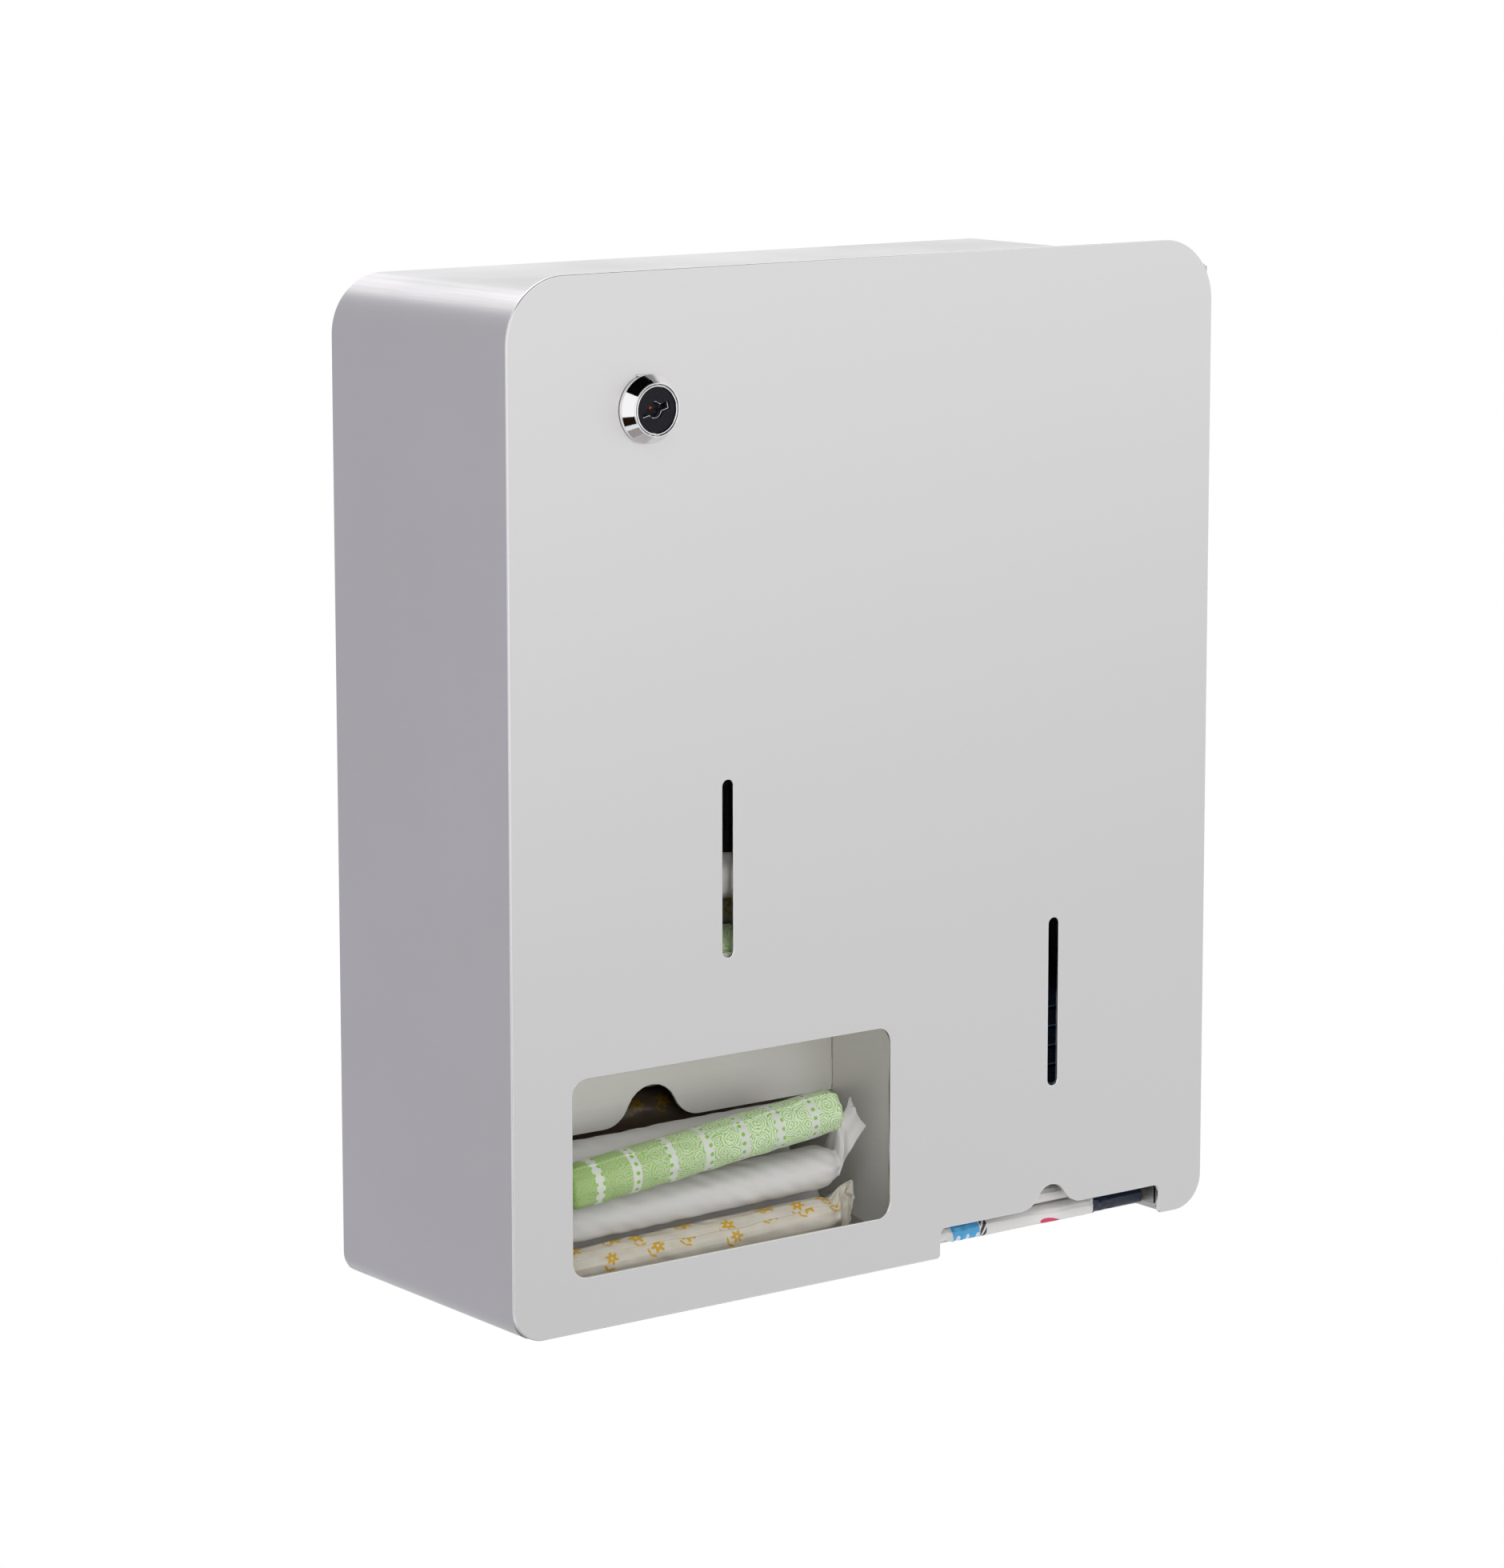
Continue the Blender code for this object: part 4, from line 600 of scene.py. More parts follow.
class DISPENSER_OT_case(bpy.types.Operator):
    """Make the wrapped case and give the plain steel parts their finish"""
    bl_idname = "dispenser.case"
    bl_label = "Case and Steelwork"

    def execute(self, context):
        steel = context.scene.dispenser_steel
        coarse = steel.grain * 1.5
        satin = satin_stainless("satin_stainless", steel.face_colour, steel.roughness, steel.grain)
        dress(PLAIN_STEEL, satin_stainless("mill_stainless", linear("#C9C8C3"), 0.4, coarse))
        # The recess plates are matt, which metallic below 1 stands for, and their colour is raised to near
        # white, beyond the steel's own, as painted light so that the shaded recess shows bright.
        dress(RECESS, satin_stainless("matt_stainless_painted_light", linear("#FAF8F2"), 0.42, coarse, metallic=0.27))
        dress(ZINC, zinc_plate())
        # The wrap's front edge is cut back where the hinge leaf bends over it.
        path = case_path()
        point, run = path[0], run_of(path[0])
        leaf_low, leaf_high = np.array(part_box("hinge_case_leaf"))
        first = np.argmax(point[:, 0] > CASE_HIGH[0] - 0.6 * MM)
        low, high = run[first] + np.array([leaf_low[2], leaf_high[2]]) - point[first, 1]
        room, step, deep = 2 * MM, 0.01 * MM, 1.05 * MM
        path, run = with_rows(path, run, [low - room, low - room + step, high + room - step, high + room])
        cut_back = np.where((run > low - room + step / 2) & (run < high + room - step / 2), deep, 0)
        front, crisp, flat = CASE_LOW[1], 0.15 * MM, 0.02 * MM
        section, _ = rounded([(HALF_WALL, 0, crisp), (-HALF_WALL, 0, crisp), (-HALF_WALL, front, crisp),
                              (HALF_WALL, front, 0.8 * MM)], steps=4, support=0.4 * MM)
        wrap = carried(path, section, cut_back)
        # The lip that the front plate closes on, along the top and the left side.
        inner, outer = HALF_WALL - 10 * MM, -0.3 * MM
        lip, _ = rounded([(-0.55 * MM, front + 1 * MM, 0.1 * MM), (inner, front + 1 * MM, crisp),
                          (inner, front + flat, crisp), (outer, front + flat, 0.1 * MM)],
                         steps=3, support=0.2 * MM)
        left, top = CASE_LOW[0] + HALF_WALL, CASE_HIGH[2] - HALF_WALL
        lip_path = rounded([(CASE_HIGH[0] - 30 * MM, top, 0.1 * MM), (left, top, CASE_BEND),
                            (left, CASE_LOW[2] + 14 * MM, 0.1 * MM)], steps=24, support=1 * MM, closed=False)
        make_piece("case_sheet", wrap + carried(lip_path, lip), [satin], "case",
                   ["case_wrap"])
        return {"FINISHED"}


# Door

def slot_outline(centre_x, centre_z):
    """An upright viewing slot with round ends."""
    half, reach = 2.2 * MM, 30.1 * MM
    return rounded([(centre_x + across * half, centre_z + up * reach, half)
                    for across, up in ((-1, -1), (-1, 1), (1, 1), (1, -1))], steps=12)


def bell_corners(centre, base, height, dome, half_width):
    """Three corners whose arcs run into one another: foot, dome and foot of a finger scallop.

    The foot's radius follows from the dome's: (half_width² + rise² - dome²) / (2 height).
    """
    rise = height - dome
    foot = (half_width**2 + rise**2 - dome**2) / (2 * height)
    lean = math.pi / 2 + math.atan2(rise - foot, half_width)
    side = half_width - foot * math.tan(lean / 2)
    return [(centre - side, base, foot), (centre, base + rise + dome / math.cos(lean), dome),
            (centre + side, base, foot)]


class DISPENSER_OT_door(bpy.types.Operator):
    """Make the front plate with its window, slots, lock hole and pad notch"""
    bl_idname = "dispenser.door"
    bl_label = "Front Plate"

    def execute(self, context):
        steel = context.scene.dispenser_steel
        satin = bpy.data.materials["satin_stainless"]
        # The cut edges are smoother than the sheet, and their colour is raised above the steel's own as a
        # painted highlight along every edge.
        rim = satin_stainless("cut_edge_painted_highlight", linear("#EDECEC"), 0.22, steel.grain, contrast=0.6)
        foot, crown, notch_foot, notch_top = 12 * MM, 22 * MM, 1.5 * MM, 2.5 * MM
        near, far = PAD_LOW[0] - 2.3 * MM, PAD_HIGH[0] + 2.3 * MM
        ceiling = BOTTOM + 10.5 * MM
        outer = rounded([
            (LEFT, BOTTOM, foot), (near, BOTTOM, notch_foot), (near, ceiling, notch_top),
            *bell_corners(PAD_CENTRE, ceiling, height=8 * MM, dome=6.5 * MM, half_width=14 * MM),
            (far, ceiling, notch_top), (far, BOTTOM, notch_foot), (RIGHT, BOTTOM, foot),
            (RIGHT, TOP, crown), (LEFT, TOP, crown)], steps=20)
        west, east = TAMPON_BAY[0] + 14.5 * MM, TAMPON_BAY[1] - 8.7 * MM
        low, high, corner = BOTTOM + 18.5 * MM, BOTTOM + 85.5 * MM, 5.5 * MM
        window = rounded([(west, low, corner), (west, high, corner), (east, high, corner), (east, low, corner)],
                         steps=14)
        ray = directions(64, way=-1)
        lock_hole = LOCK_CENTRE[[0, 2]] + ray * 9.6 * MM, -ray
        outlines = [outer, window, slot_outline(TAMPON_CENTRE, BOTTOM + 149 * MM),
                    slot_outline(PAD_CENTRE, BOTTOM + 84.6 * MM), lock_hole]
        back = DOOR_FRONT + PLATE
        parts = cut_sheet(outlines, DOOR_FRONT, back, steel.edge, rim=1)
        # Welded studs for the hinge's nuts, as (radius, depth) in mm behind the plate.
        stud = np.array([[0, -0.3], [1.5, -0.3], [1.5, 4.3], [1.2, 4.6], [0, 4.6]]) * MM
        for number in (1, 2, 3):
            middle = np.array(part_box(f"hinge_nut_{number}")).mean(0)
            parts.append(lathed(stud, (middle[0], back, middle[2]), steps=24, closed=False, finish=1))
        make_piece("front_plate", parts, [satin, rim], "door", ["door_panel"])
        return {"FINISHED"}


# Lock

# Profiles in mm: radius, depth from the plate's front and, where corners are rounded, their radius
BEZEL = [(8.45, -5.8, 0.24), (9.0, -5.8, 0.27), (9.0, -5.4, 0.1), (8.75, -5.2, 0.1), (11.2, -1.8, 0.15),
         (11.35, -1.6, 0.2), (11.35, -0.3, 0.1), (9.3, -0.3, 0.05), (9.3, 16, 0.3), (6.8, 16, 0.3),
         (6.8, -2.8, 0.1), (8.45, -2.8, 0.1)]
PLUG_RING = [(7.62, -5.7, 0.27), (8.2, -5.7, 0.27), (8.2, -3.1, 0.1), (6.6, -3.1, 0.05), (6.6, 16, 0.2),
             (3, 16, 0.1), (3, 5, 0.1), (7.62, 4.4, 0.1)]
STOP = [(0, -1.25), (0.2, -1.2), (0.36, -1.0), (0.4, -0.8), (0.4, -0.2), (0, -0.2)]
TUMBLER = [(0, -3.6), (0.45, -3.5), (0.8, -3.2), (0.95, -2.8), (0.95, -2.1), (0, -2.1)]
FLOOR = [(0, -2.2), (7.5, -2.2), (7.5, 4.3), (0, 4.3)]


def keyway_outline(x, z, turn, radius, reach, half):
    """Clockwise outline of a round centre with a bar across it, turned about the centre."""
    open_angle = math.asin(half / radius)
    steps = np.linspace(math.pi - open_angle, open_angle, 14)
    top = np.stack([radius * np.cos(steps), radius * np.sin(steps)], 1)
    half_turn = np.concatenate([top, [[reach, half], [reach, -half]]])
    points = np.concatenate([half_turn, -half_turn])
    after = unit(points - np.roll(points, 1, axis=0))
    mean = unit(after + unit(np.roll(points, -1, axis=0) - points))
    normal = np.stack([mean[:, 1], -mean[:, 0]], 1)
    normal /= np.maximum((mean * after).sum(1), 0.5)[:, None]
    spin = np.array([[math.cos(turn), math.sin(turn)], [-math.sin(turn), math.cos(turn)]])
    return points @ spin + (x, z), normal @ spin


class DISPENSER_OT_lock(bpy.types.Operator):
    """Make the cam lock's bezel, plug ring, face disc and keyway"""
    bl_idname = "dispenser.lock"
    bl_label = "Cam Lock"

    def execute(self, context):
        settings = context.scene.dispenser_lock
        chrome, black, copper = bright_chrome(settings.chrome), black_face(), copper_pin()
        bezel, ring = (lathed(rounded(np.array(corners) * MM, steps=4, support=0.1 * MM)[0], LOCK_CENTRE)
                       for corners in (BEZEL, PLUG_RING))
        stop = lathed(np.array(STOP) * MM, LOCK_CENTRE + np.array([-3.8, 0, 11.1]) * MM, 24, closed=False)
        make_piece("lock_bezel", [bezel, stop], [chrome], "door", ["lock_housing"])
        x, back, z = LOCK_CENTRE
        half_tail, edge = 3.5 * MM, 0.2 * MM
        square = rounded([(x + across * half_tail, z + up * half_tail, 0.3 * MM)
                          for across, up in ((-1, -1), (1, -1), (1, 1), (-1, 1))], steps=3)
        tail = cut_sheet([square], back + 15 * MM, back + 17.5 * MM, edge)
        way = keyway_outline(x, z, settings.keyway_turn, radius=2.9 * MM, reach=5.6 * MM, half=1.35 * MM)
        ray = directions(96)
        disc = cut_sheet([(LOCK_CENTRE[[0, 2]] + ray * 7.55 * MM, ray), way], back - 5.1 * MM, back - 4.0 * MM,
                         edge)
        make_piece("lock_face", disc, [black], "lock plug", ["lock_disc"])
        liner = carried_rim(way, back - 4.1 * MM, back - 2.4 * MM, 0.3 * MM)
        floor = lathed(np.array(FLOOR) * MM, LOCK_CENTRE, closed=False, finish=2)
        pin = lathed(np.array(TUMBLER) * MM, LOCK_CENTRE + np.array([-1.1, 0, 0.7]) * MM, 24, finish=1,
                     closed=False)
        make_piece("lock_plug_ring", [ring, floor, liner, *tail, pin], [chrome, copper, black],
                   "lock plug", ["lock_plug"])
        return {"FINISHED"}


# Tampons

def axis_of(node):
    """Left end, direction, length and radius of a bar, from the main direction of its points."""
    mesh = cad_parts[node].data
    points = np.zeros(len(mesh.vertices) * 3)
    mesh.vertices.foreach_get("co", points)
    points = np.unique(points.reshape(-1, 3).round(6), axis=0)
    middle = (points.min(0) + points.max(0)) / 2
    direction = np.linalg.svd(points - middle, full_matrices=False)[2][0]
    direction *= np.sign(direction[0])
    run = (points - middle) @ direction
    across = points - middle - run[:, None] * direction
    radius = np.linalg.norm(across, axis=1).max()
    return middle + direction * run.min(), direction, run.max() - run.min(), radius


def ease(value, low, high):
    """0 below low, 1 above high and a cubic between: t² (3 - 2t)."""
    share = np.clip((value - low) / (high - low), 0, 1)
    return share * share * (3 - 2 * share)


def crowded(count, pull):
    """Shares from 0 to 1 that lie closer together towards both ends, the more so the higher pull is."""
    even = np.linspace(0, 1, count)
    return even - pull * np.sin(math.tau * even) / math.tau


def swings(rng, count, *terms):
    """A sum of sines with random phases, divided by the root of their number.

    Each term is an array and the range that its random factor comes from.
    """
    total = 0
    for _ in range(count):
        phase = rng.uniform(0, math.tau)
        total = total + np.sin(phase + sum(rng.uniform(*span) * array for array, span in terms))
    return total / count**0.5


def wrapped(start, along, length, radius, rng, wrinkle, seam, tail, ridge):
    """A tampon in its wrapper, as a radius over the run along its axis and the angle round it.

    The radius is that of a bar whose ends follow a superellipse. It dips a little five times
    round, carries waves for wrinkles, ridges along the piece for loose film and pleats at the
    ends, and steps up where the paper overlaps. A tail is the empty end of the wrapper: the
    round section eases into a flat, folded sheet that stands up, rises and ends ragged.
    """
    rows, columns, tail_rows = 190, 88, 50
    end, roundness, thin, overlap, neck = 4 * MM, 2.6, 0.2 * MM, 0.5 * MM, 3.2 * MM
    run = length * crowded(rows, 0.4)
    if tail:
        run = np.concatenate([run, length + tail["reach"] * np.linspace(0, 1, tail_rows)[1:]])
    lap = np.linspace(0, math.tau, columns)
    lines = run[:, None] / length
    angle = seam + 0.09 * np.sin(lines * 8 + rng.uniform(0, 6)) + 0.035 * np.sin(lines * 37) + lap
    inward = np.clip(1 - run / end, 0, 1)
    if not tail:
        inward = inward + np.clip(1 - (length - run) / end, 0, 1)
    hull = ((1 - inward**roundness) ** (1 / roundness))[:, None]
    near_end = np.exp(-np.minimum(run, np.abs(length - run)) / (4.5 * MM))[:, None]
    flats = 1 - 0.012 * (1 + np.cos(5 * angle + 2 * np.sin(lines * 5)))
    waves = sum(np.sin(rng.integers(1, 9) * angle + lines * rng.uniform(4, 30) * math.pi + rng.uniform(0, 6))
                for _ in range(16)) / 4
    folds = sum(np.abs(np.sin(rng.integers(2, 6) * angle + lines * rng.uniform(-5, 5)
                              + rng.uniform(0, 6))) ** 0.6 for _ in range(4)) / 4
    pleats = (np.cos(11 * angle + rng.uniform(0, 6)) + np.cos(7 * angle + rng.uniform(0, 6))) / 2
    step = overlap * np.exp(-lap / 0.35) * (1 + 0.3 * np.sin(lines * 23))
    size = (radius - thin) * flats + wrinkle * (waves - 0.8) + step - ridge * folds
    size = size * hull * (1 - 0.06 * near_end * (1 + pleats))
    if tail:
        size = size * (1 - tail["pinch"] * np.exp(-(((run - length) / neck) ** 2)))[:, None]
    up = unit(np.array([0, 0, 1.0]) - along * along[2])
    front = np.cross(up, along)
    front *= -np.sign(front[1])
    height = np.sin(angle)
    forward, upward, onward = size * np.cos(angle), size * height, run[:, None]
    if tail:
        loose = np.clip((run - length) / tail["reach"], 0, 1)[:, None]
        flat, tall = ease(loose, 0.0, 0.6), ease(loose, 0.1, 0.8)
        crease = swings(rng, 4, (height, (1.5, 4)), (loose, (1, 4)))
        across = np.abs(swings(rng, 3, (height, (0.2, 2)), (loose, tail["ribs"])))
        ragged = swings(rng, 6, (height, (2, 12)))
        relief = crease * tail["fold"] * height**2 + across * tail["pleat"]
        forward = forward * (1 - 0.95 * flat) + relief * flat + tail["lean"] * loose
        upward = upward * (1 + (tail["half"] / radius - 1) * tall) + 0.8 * MM * across * flat
        upward = upward + tail["lift"] * (loose**0.8 + 0.03 * ragged * loose**2)
        bite = 0.35 * (1 - height**2) * tail["notch"] + 0.15 * height**4
        onward = onward - tail["tilt"] * height * loose
        onward = onward + tail["reach"] * loose**2 * (tail["ragged"] * ragged - bite)
    points = start + along * onward[..., None] + front * forward[..., None] + up * upward[..., None]
    turned = np.concatenate([lap, [math.tau + 0.04]]) * radius
    uv = np.stack(np.broadcast_arrays(run[:, None], turned), -1)
    return [grid(points, closed=True, uv=uv)] + ([cap(points[-1])] if tail else [])


# The torn end of tampon 6 and the crumpled one of tampon 1
TORN = {"reach": 9 * MM, "half": 6.5 * MM, "lift": 17.5 * MM, "lean": 3 * MM, "fold": 1.6 * MM,
        "pleat": 0.7 * MM, "notch": 0.1, "ragged": 0.05, "ribs": (3, 6), "pinch": 0.25, "tilt": 4 * MM}
CRUMPLED = {"reach": 10 * MM, "half": 8.5 * MM, "lift": 2.5 * MM, "lean": -1 * MM, "fold": 0.8 * MM,
            "pleat": 1.6 * MM, "notch": 0.1, "ragged": 0.1, "ribs": (9, 16), "pinch": 0.2, "tilt": 0}
TAILS = {6: (TORN, 0.25 * MM), 1: (CRUMPLED, 0.9 * MM)}
SEAMS = {10: 1.0, 6: 4.0, 1: 0.75, 7: 0.9}


class DISPENSER_OT_tampons(bpy.types.Operator):
    """Make the wrapped tampons in the tray and on the ramp"""
    bl_idname = "dispenser.tampons"
    bl_label = "Tampons"

    def execute(self, context):
        settings = context.scene.dispenser_wrappers
        papers = {"white_wrapper": white_wrapper(settings), "green_wrapper": green_wrapper(settings),
                  "floral_wrapper": floral_wrapper(settings)}
        # Tampon 12 lies deep behind the baffle: its film is printed dark brown with faint yellow as painted
        # shade, the darkness standing for the shadow it lies in.
        painted_shade = floral_wrapper(settings, "printed_film_painted_shade", "#56483A", "#3B3128", 0.3)
        wraps = dict.fromkeys(range(1, 17), "white_wrapper")
        wraps.update(dict.fromkeys((10, 13, 4), "green_wrapper"))
        wraps.update(dict.fromkeys((1, 12, 15, 3), "floral_wrapper"))
        for number, slot in wraps.items():
            node = f"tampon_{number:02d}"
            rng = np.random.default_rng(settings.seed + number)
            start, along, length, radius = axis_of(node)
            tail, ridge = TAILS.get(number, (None, 0.25 * MM))
            if number == 6:
                length -= tail["reach"] + 2 * MM
            seam = SEAMS.get(number, rng.uniform(0, 6))
            shape = wrapped(start, along, length, radius, rng, settings.wrinkle, seam, tail, ridge)
            body = "front tampon" if number == 10 else "case"
            finish = painted_shade if number == 12 else papers[slot]
            make_piece(f"wrapped_{node}", shape, [finish], body, [node])
        return {"FINISHED"}


# Pads

def pouch(low, high, rng, wrinkle, seals, lean, hang, shift):
    """A folded pad in its sealed pouch: a box section with round edges, carried along X.

    Towards each end the height falls by a cubic to a share of itself, which is the flat seal.
    The front swells between top and bottom, depth = front - swell (1 - v²), steps back above
    the outer fold's edge and puckers beside the seals. It leans out by lean, and what is out
    past the sheet below hangs down by hang. shift is where the printed web was cut, along and
    round. Round the section the points lie closest on the front.
    """
    rows, columns, dense_count = 170, 120, 4000
    swell, fold_step, seal_back, top_sink = 0.5 * MM, 0.35 * MM, 1.6 * MM, 0.12 * MM
    width, deep, tall = high - low
    half = tall / 2
    edge = min(2.3 * MM, tall * 0.46)
    outline = rounded([(deep, -half, edge), (deep, half, edge), (0, half, edge), (0, -half, edge)], steps=10)[0]
    outline = np.concatenate([outline, outline[:1]])
    length = run_of(outline)
    dense = np.linspace(0, length[-1], dense_count)
    spacing = 0.25 * MM + 2.6 * MM * ease(np.interp(dense, length, outline[:, 0]), 3 * MM, 8 * MM)
    weight = np.cumsum(1 / spacing)
    around = np.interp(np.linspace(weight[0], weight[-1], columns + 1), weight, dense)
    depth, height = (np.interp(around, length, column)[:-1] for column in outline.T)
    x = width * crowded(rows, 0.48)
    (left, left_share), (right, right_share) = seals
    full = 1 - (1 - left_share) * (1 - ease(x, left * 0.75, left * 1.15))
    full = full * (1 - (1 - right_share) * (1 - ease(width - x, right * 0.86, right * 1.1)))
    full = full[:, None]
    near = np.exp(-np.minimum(np.abs(x - left), np.abs(width - x - right)) / (7 * MM))[:, None]
    facing = 1 - ease(depth, 0, 4.5 * MM)
    v = (height / half)[None]
    along = (x / width)[:, None]
    fold = 0.25 + 0.12 * np.sin(along * 9 + rng.uniform(0, 6)) + 0.05 * np.sin(along * 31)
    waves = swings(rng, 8, (along, (4, 40)), (v, (-2, 2)))
    pucker = swings(rng, 6, (along, (60, 190)), (v, (-3, 3)))
    y = depth - facing * full * (swell * (1 - v**2) + lean)
    sag = hang * ease(-y, 1.7 * MM, 3.1 * MM) * ease(-v, -0.5, 0.8) * full
    creases = wrinkle * (1.2 * waves + 4.5 * near * pucker)
    y = y + facing * (fold_step * ease(v, fold - 0.07, fold + 0.07) + creases)
    y = y + seal_back * facing * (1 - full)
    z = height * full + half - top_sink * (1 - facing) * np.sign(height) * (1 + waves)
    z = z + (1 - full) * half * 0.4 * np.sin(along * 14 + rng.uniform(0, 1)) - sag
    points = np.stack(np.broadcast_arrays(low[0] + x[:, None], low[1] + y, low[2] + z), -1)
    uv = np.stack(np.broadcast_arrays(x[:, None] + shift[0], around + shift[1]), -1)
    return [grid(points, closed=True, uv=uv), cap(points[0]), cap(points[-1])]


class DISPENSER_OT_pads(bpy.types.Operator):
    """Make the stack of wrapped pads"""
    bl_idname = "dispenser.pads"
    bl_label = "Pads"

    def execute(self, context):
        settings = context.scene.dispenser_wrappers
        film = pad_pouch(settings)
        for number in range(1, 13):
            node = f"pad_{number:02d}"
            rng = np.random.default_rng(settings.seed + 100 + number)
            low, high = np.array(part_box(node))
            body, shows = "bottom pad" if number == 1 else "case", number < 4
            if shows:
                high[0] += 1.8 * MM
            seals = (6 * MM, 0.2), (6 * MM, 0.85 if shows else 0.2)
            lean, hang = {2: 2.4 * MM}.get(number, 0.0), 0.0
            shift = 0 if shows else 22 * MM, -8 * MM
            if number == 1:
                seals, lean, hang, shift = ((9.5 * MM, 0.9), (23 * MM, 0.92)), 3.6 * MM, 2.0 * MM, (0, 0)
            shape = pouch(low, high, rng, settings.wrinkle, seals, lean, hang, shift)
            made = make_piece(f"wrapped_{node}", shape, [film], body, [node])
        return {"FINISHED"}


# Stage

def pose(made, place, *axes):
    """Put an object at a place, with its X, Y and Z along three axes."""
    made.matrix_world = Matrix.Translation(place) @ Matrix(np.stack(axes, 1).tolist()).to_4x4()


def card(name, centre, facing, width, height, shade, strength=1.0, fade=None):
    """A flat studio card that only reflections see, turned to face a point.

    With fade, as (direction, low, high, share), it dims to that share of itself as the
    distance along the direction goes from high down to low.
    """
    centre = np.array(centre, float)
    toward = unit(facing - centre)
    level = abs(toward[2]) < 0.99
    side = unit(np.cross([0, 0, 1.0] if level else [0, 1.0, 0], toward))
    up = np.cross(toward, side)
    corners = [centre + side * a * width / 2 + up * b * height / 2
               for a, b in ((-1, -1), (1, -1), (1, 1), (-1, 1))]
    mesh = bpy.data.meshes.new(name)
    mesh.from_pydata([list(corner) for corner in corners], [], [(0, 1, 2, 3)])
    made = place_object(name, mesh)
    finish = bpy.data.materials.new(name)
    finish.use_nodes = True
    node = partial(add, finish.node_tree)
    finish.node_tree.nodes.clear()
    if fade:
        direction, low, high, share = fade
        along = node("VectorMath DOT_PRODUCT", node("TexCoord").outputs["Object"], direction)
        strength = node("MapRange", along, low, high, share * strength, strength,
                        interpolation_type="SMOOTHSTEP")
    node("OutputMaterial", Surface=node("Emission", shade, strength))
    mesh.materials.append(finish)
    made.visible_camera = made.visible_diffuse = made.visible_shadow = made.visible_transmission = False


def lamp(name, place, target, size, power):
    """A square soft lamp aimed at a point, which reflections don't see."""
    light = bpy.data.lights.new(name, "AREA")
    light.energy, light.size = power, size
    made = place_object(name, light)
    backward = unit(np.array(place, float) - target)
    side = unit(np.cross([0, 0, 1.0], backward))
    pose(made, place, side, np.cross(backward, side), backward)
    made.visible_glossy = False


def white_world(ambient):
    """A soft sky that lights, and plain white for what the camera and reflections see of it."""
    world = bpy.context.scene.world = bpy.data.worlds.new("white_studio")
    world.use_nodes = True
    world.node_tree.nodes.clear()
    node = partial(add, world.node_tree)
    path = node("LightPath").outputs
    seen = node("Math MAXIMUM", path["Is Camera Ray"], path["Is Glossy Ray"])
    seen = node("Math MAXIMUM", seen, path["Is Transmission Ray"])
    soft, white = node("Background", linear("#F6F8FC"), ambient), node("Background", (1, 1, 1), 1.0)
    node("OutputWorld", Surface=node("MixShader", seen, soft, white))


def fitted_camera():
    """The camera fitted to the photograph, whose sizes here are pixels of its height."""
    photo, focal, middle, sensor = 1960, 6416.135, 823, 36
    yaw, pitch, roll = (math.radians(a) for a in (-36.862, 8.807, 0.041))
    ahead = np.array([-math.sin(yaw) * math.cos(pitch), math.cos(yaw) * math.cos(pitch), -math.sin(pitch)])
    level = np.array([math.cos(yaw), math.sin(yaw), 0])
    down = np.cross(ahead, level)
    right, down = (math.cos(roll) * level + math.sin(roll) * down,
                   -math.sin(roll) * level + math.cos(roll) * down)
    camera = bpy.data.cameras.new("camera")
    camera.sensor_width, camera.lens = sensor, focal * sensor / photo
    camera.shift_y = -(photo / 2 - middle) / photo
    camera.clip_start, camera.clip_end = 0.05, 50
    made = place_object("camera", camera)
    pose(made, (-1.063253, -1.453781, 0.305040), right, -down, -ahead)
    bpy.context.scene.camera = made


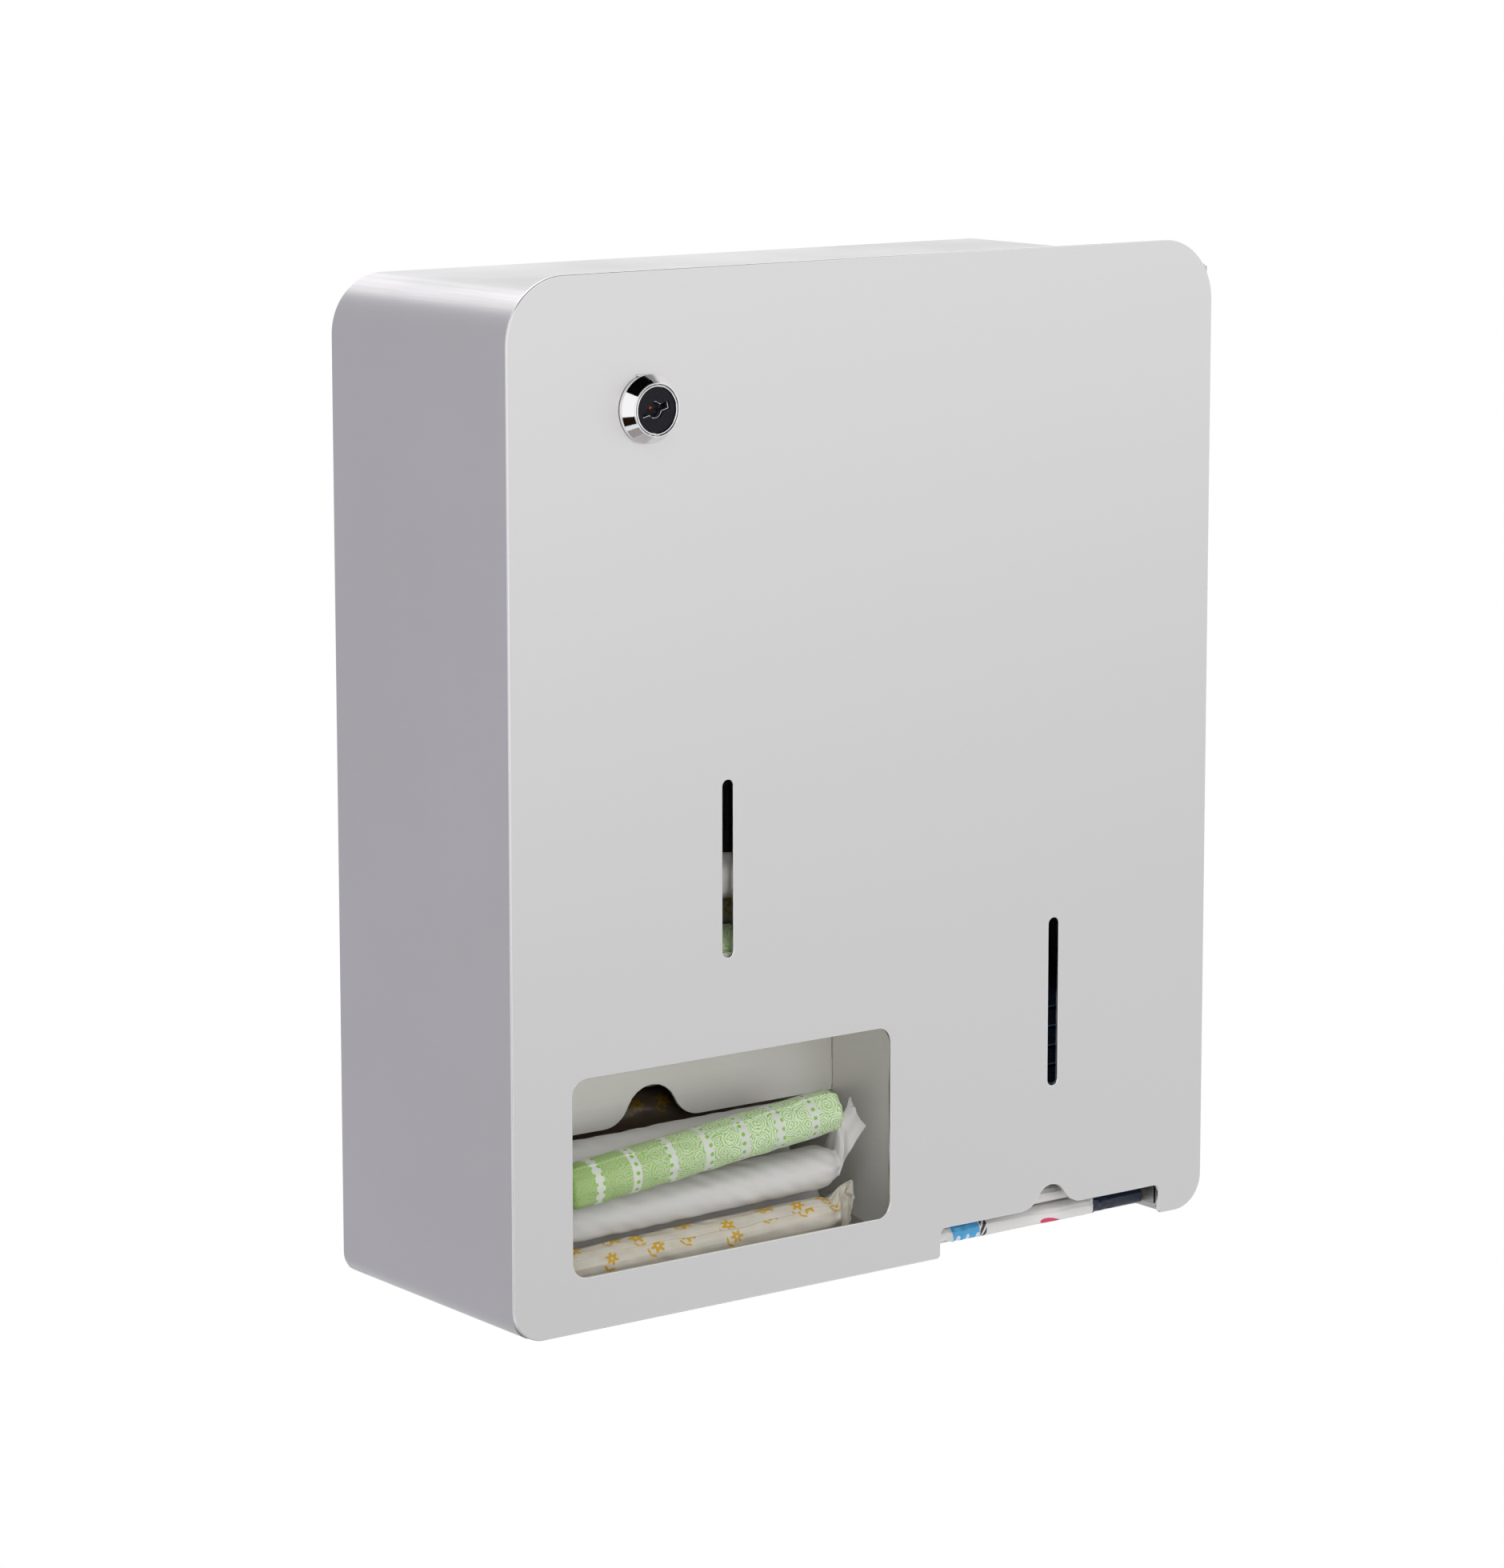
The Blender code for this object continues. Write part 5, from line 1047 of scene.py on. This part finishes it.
class DISPENSER_OT_stage(bpy.types.Operator):
    """Set the floor, lamps, reflection cards, world and camera"""
    bl_idname = "dispenser.stage"
    bl_label = "Stage"

    def execute(self, context):
        settings = context.scene.dispenser_stage
        context.scene.view_settings.view_transform = "Standard"
        count, radius = 96, 1.5
        rim = np.column_stack([radius * directions(count), np.full(count, -settings.floor_drop)])
        mesh = bpy.data.meshes.new("floor")
        mesh.from_pydata(rim.tolist(), [], [list(range(count))])
        mesh.materials.append(floor_paint())
        floor = place_object("floor", mesh)
        white_world(settings.ambient)
        card("side_card", (-0.62, 0.70, 0.20), (-0.15, -0.05, 0.28), 0.95, 2.3, linear("#DADAE0"))
        card("back_card", (0.46, 1.0, 0.62), (0.16, -0.05, 0.16), 1.45, 1.3, (1, 1, 1), 1.86,
             ((-1, 0, 0), -0.60, -0.28, 0.70))
        card("ceiling_card", (-0.1, -0.25, 1.05), (-0.1, -0.25, 0), 1.75, 1.5, linear("#050505"))
        card("left_card", (-0.765, -0.433, -0.38), LOCK_CENTRE, 0.5, 0.40, linear("#1C130D"))
        card("under_card", (-0.1, -0.2, -0.85), (-0.1, -0.2, 0), 1.1, 1.1, linear("#9A9492"))
        card("front_card", (0.95, -1.35, -0.35), (0, -0.1, -0.1), 1.7, 1.5, linear("#F8F8F8"), 0.98,
             ((-0.3, 0, 1), -1.0, -0.15, 0.35))
        card("low_card", (1.0, -1.0, -0.62), (0.1, -0.1, -0.05), 0.75, 0.6, linear("#D4D4D4"))
        lamp("key_lamp", (-0.9, -1.5, 1.8), (0, 0, 0), 0.9, 17)
        lamp("fill_lamp", (-0.2, -1.85, 0.2), (0, 0, 0), 1.2, 8.5)
        fitted_camera()
        return {"FINISHED"}


class DISPENSER_PT_panel(bpy.types.Panel):
    """Buttons for the dispenser's pieces"""
    bl_label = "Dispenser"
    bl_space_type = "VIEW_3D"
    bl_region_type = "UI"
    bl_category = "Dispenser"

    def draw(self, context):
        for operator in OPERATORS:
            self.layout.operator(operator.bl_idname)
        for name in SETTINGS:
            box = self.layout.box()
            group = getattr(context.scene, name)
            for key in group.bl_rna.properties.keys():
                if key not in ("rna_type", "name"):
                    box.prop(group, key)


SETTINGS = {"dispenser_steel": SteelSettings, "dispenser_lock": LockSettings,
            "dispenser_wrappers": WrapperSettings, "dispenser_stage": StageSettings}
OPERATORS = [DISPENSER_OT_case, DISPENSER_OT_door, DISPENSER_OT_lock, DISPENSER_OT_tampons,
             DISPENSER_OT_pads, DISPENSER_OT_stage]


def register():
    for made in [*SETTINGS.values(), *OPERATORS, DISPENSER_PT_panel]:
        bpy.utils.register_class(made)
    for name, group in SETTINGS.items():
        setattr(bpy.types.Scene, name, PointerProperty(type=group))


def unregister():
    for name in SETTINGS:
        delattr(bpy.types.Scene, name)
    for made in [DISPENSER_PT_panel, *reversed(OPERATORS), *SETTINGS.values()]:
        bpy.utils.unregister_class(made)


def main():
    register()
    for operator in OPERATORS:
        group, name = operator.bl_idname.split(".")
        getattr(getattr(bpy.ops, group), name)()


if __name__ == "__main__":
    main()
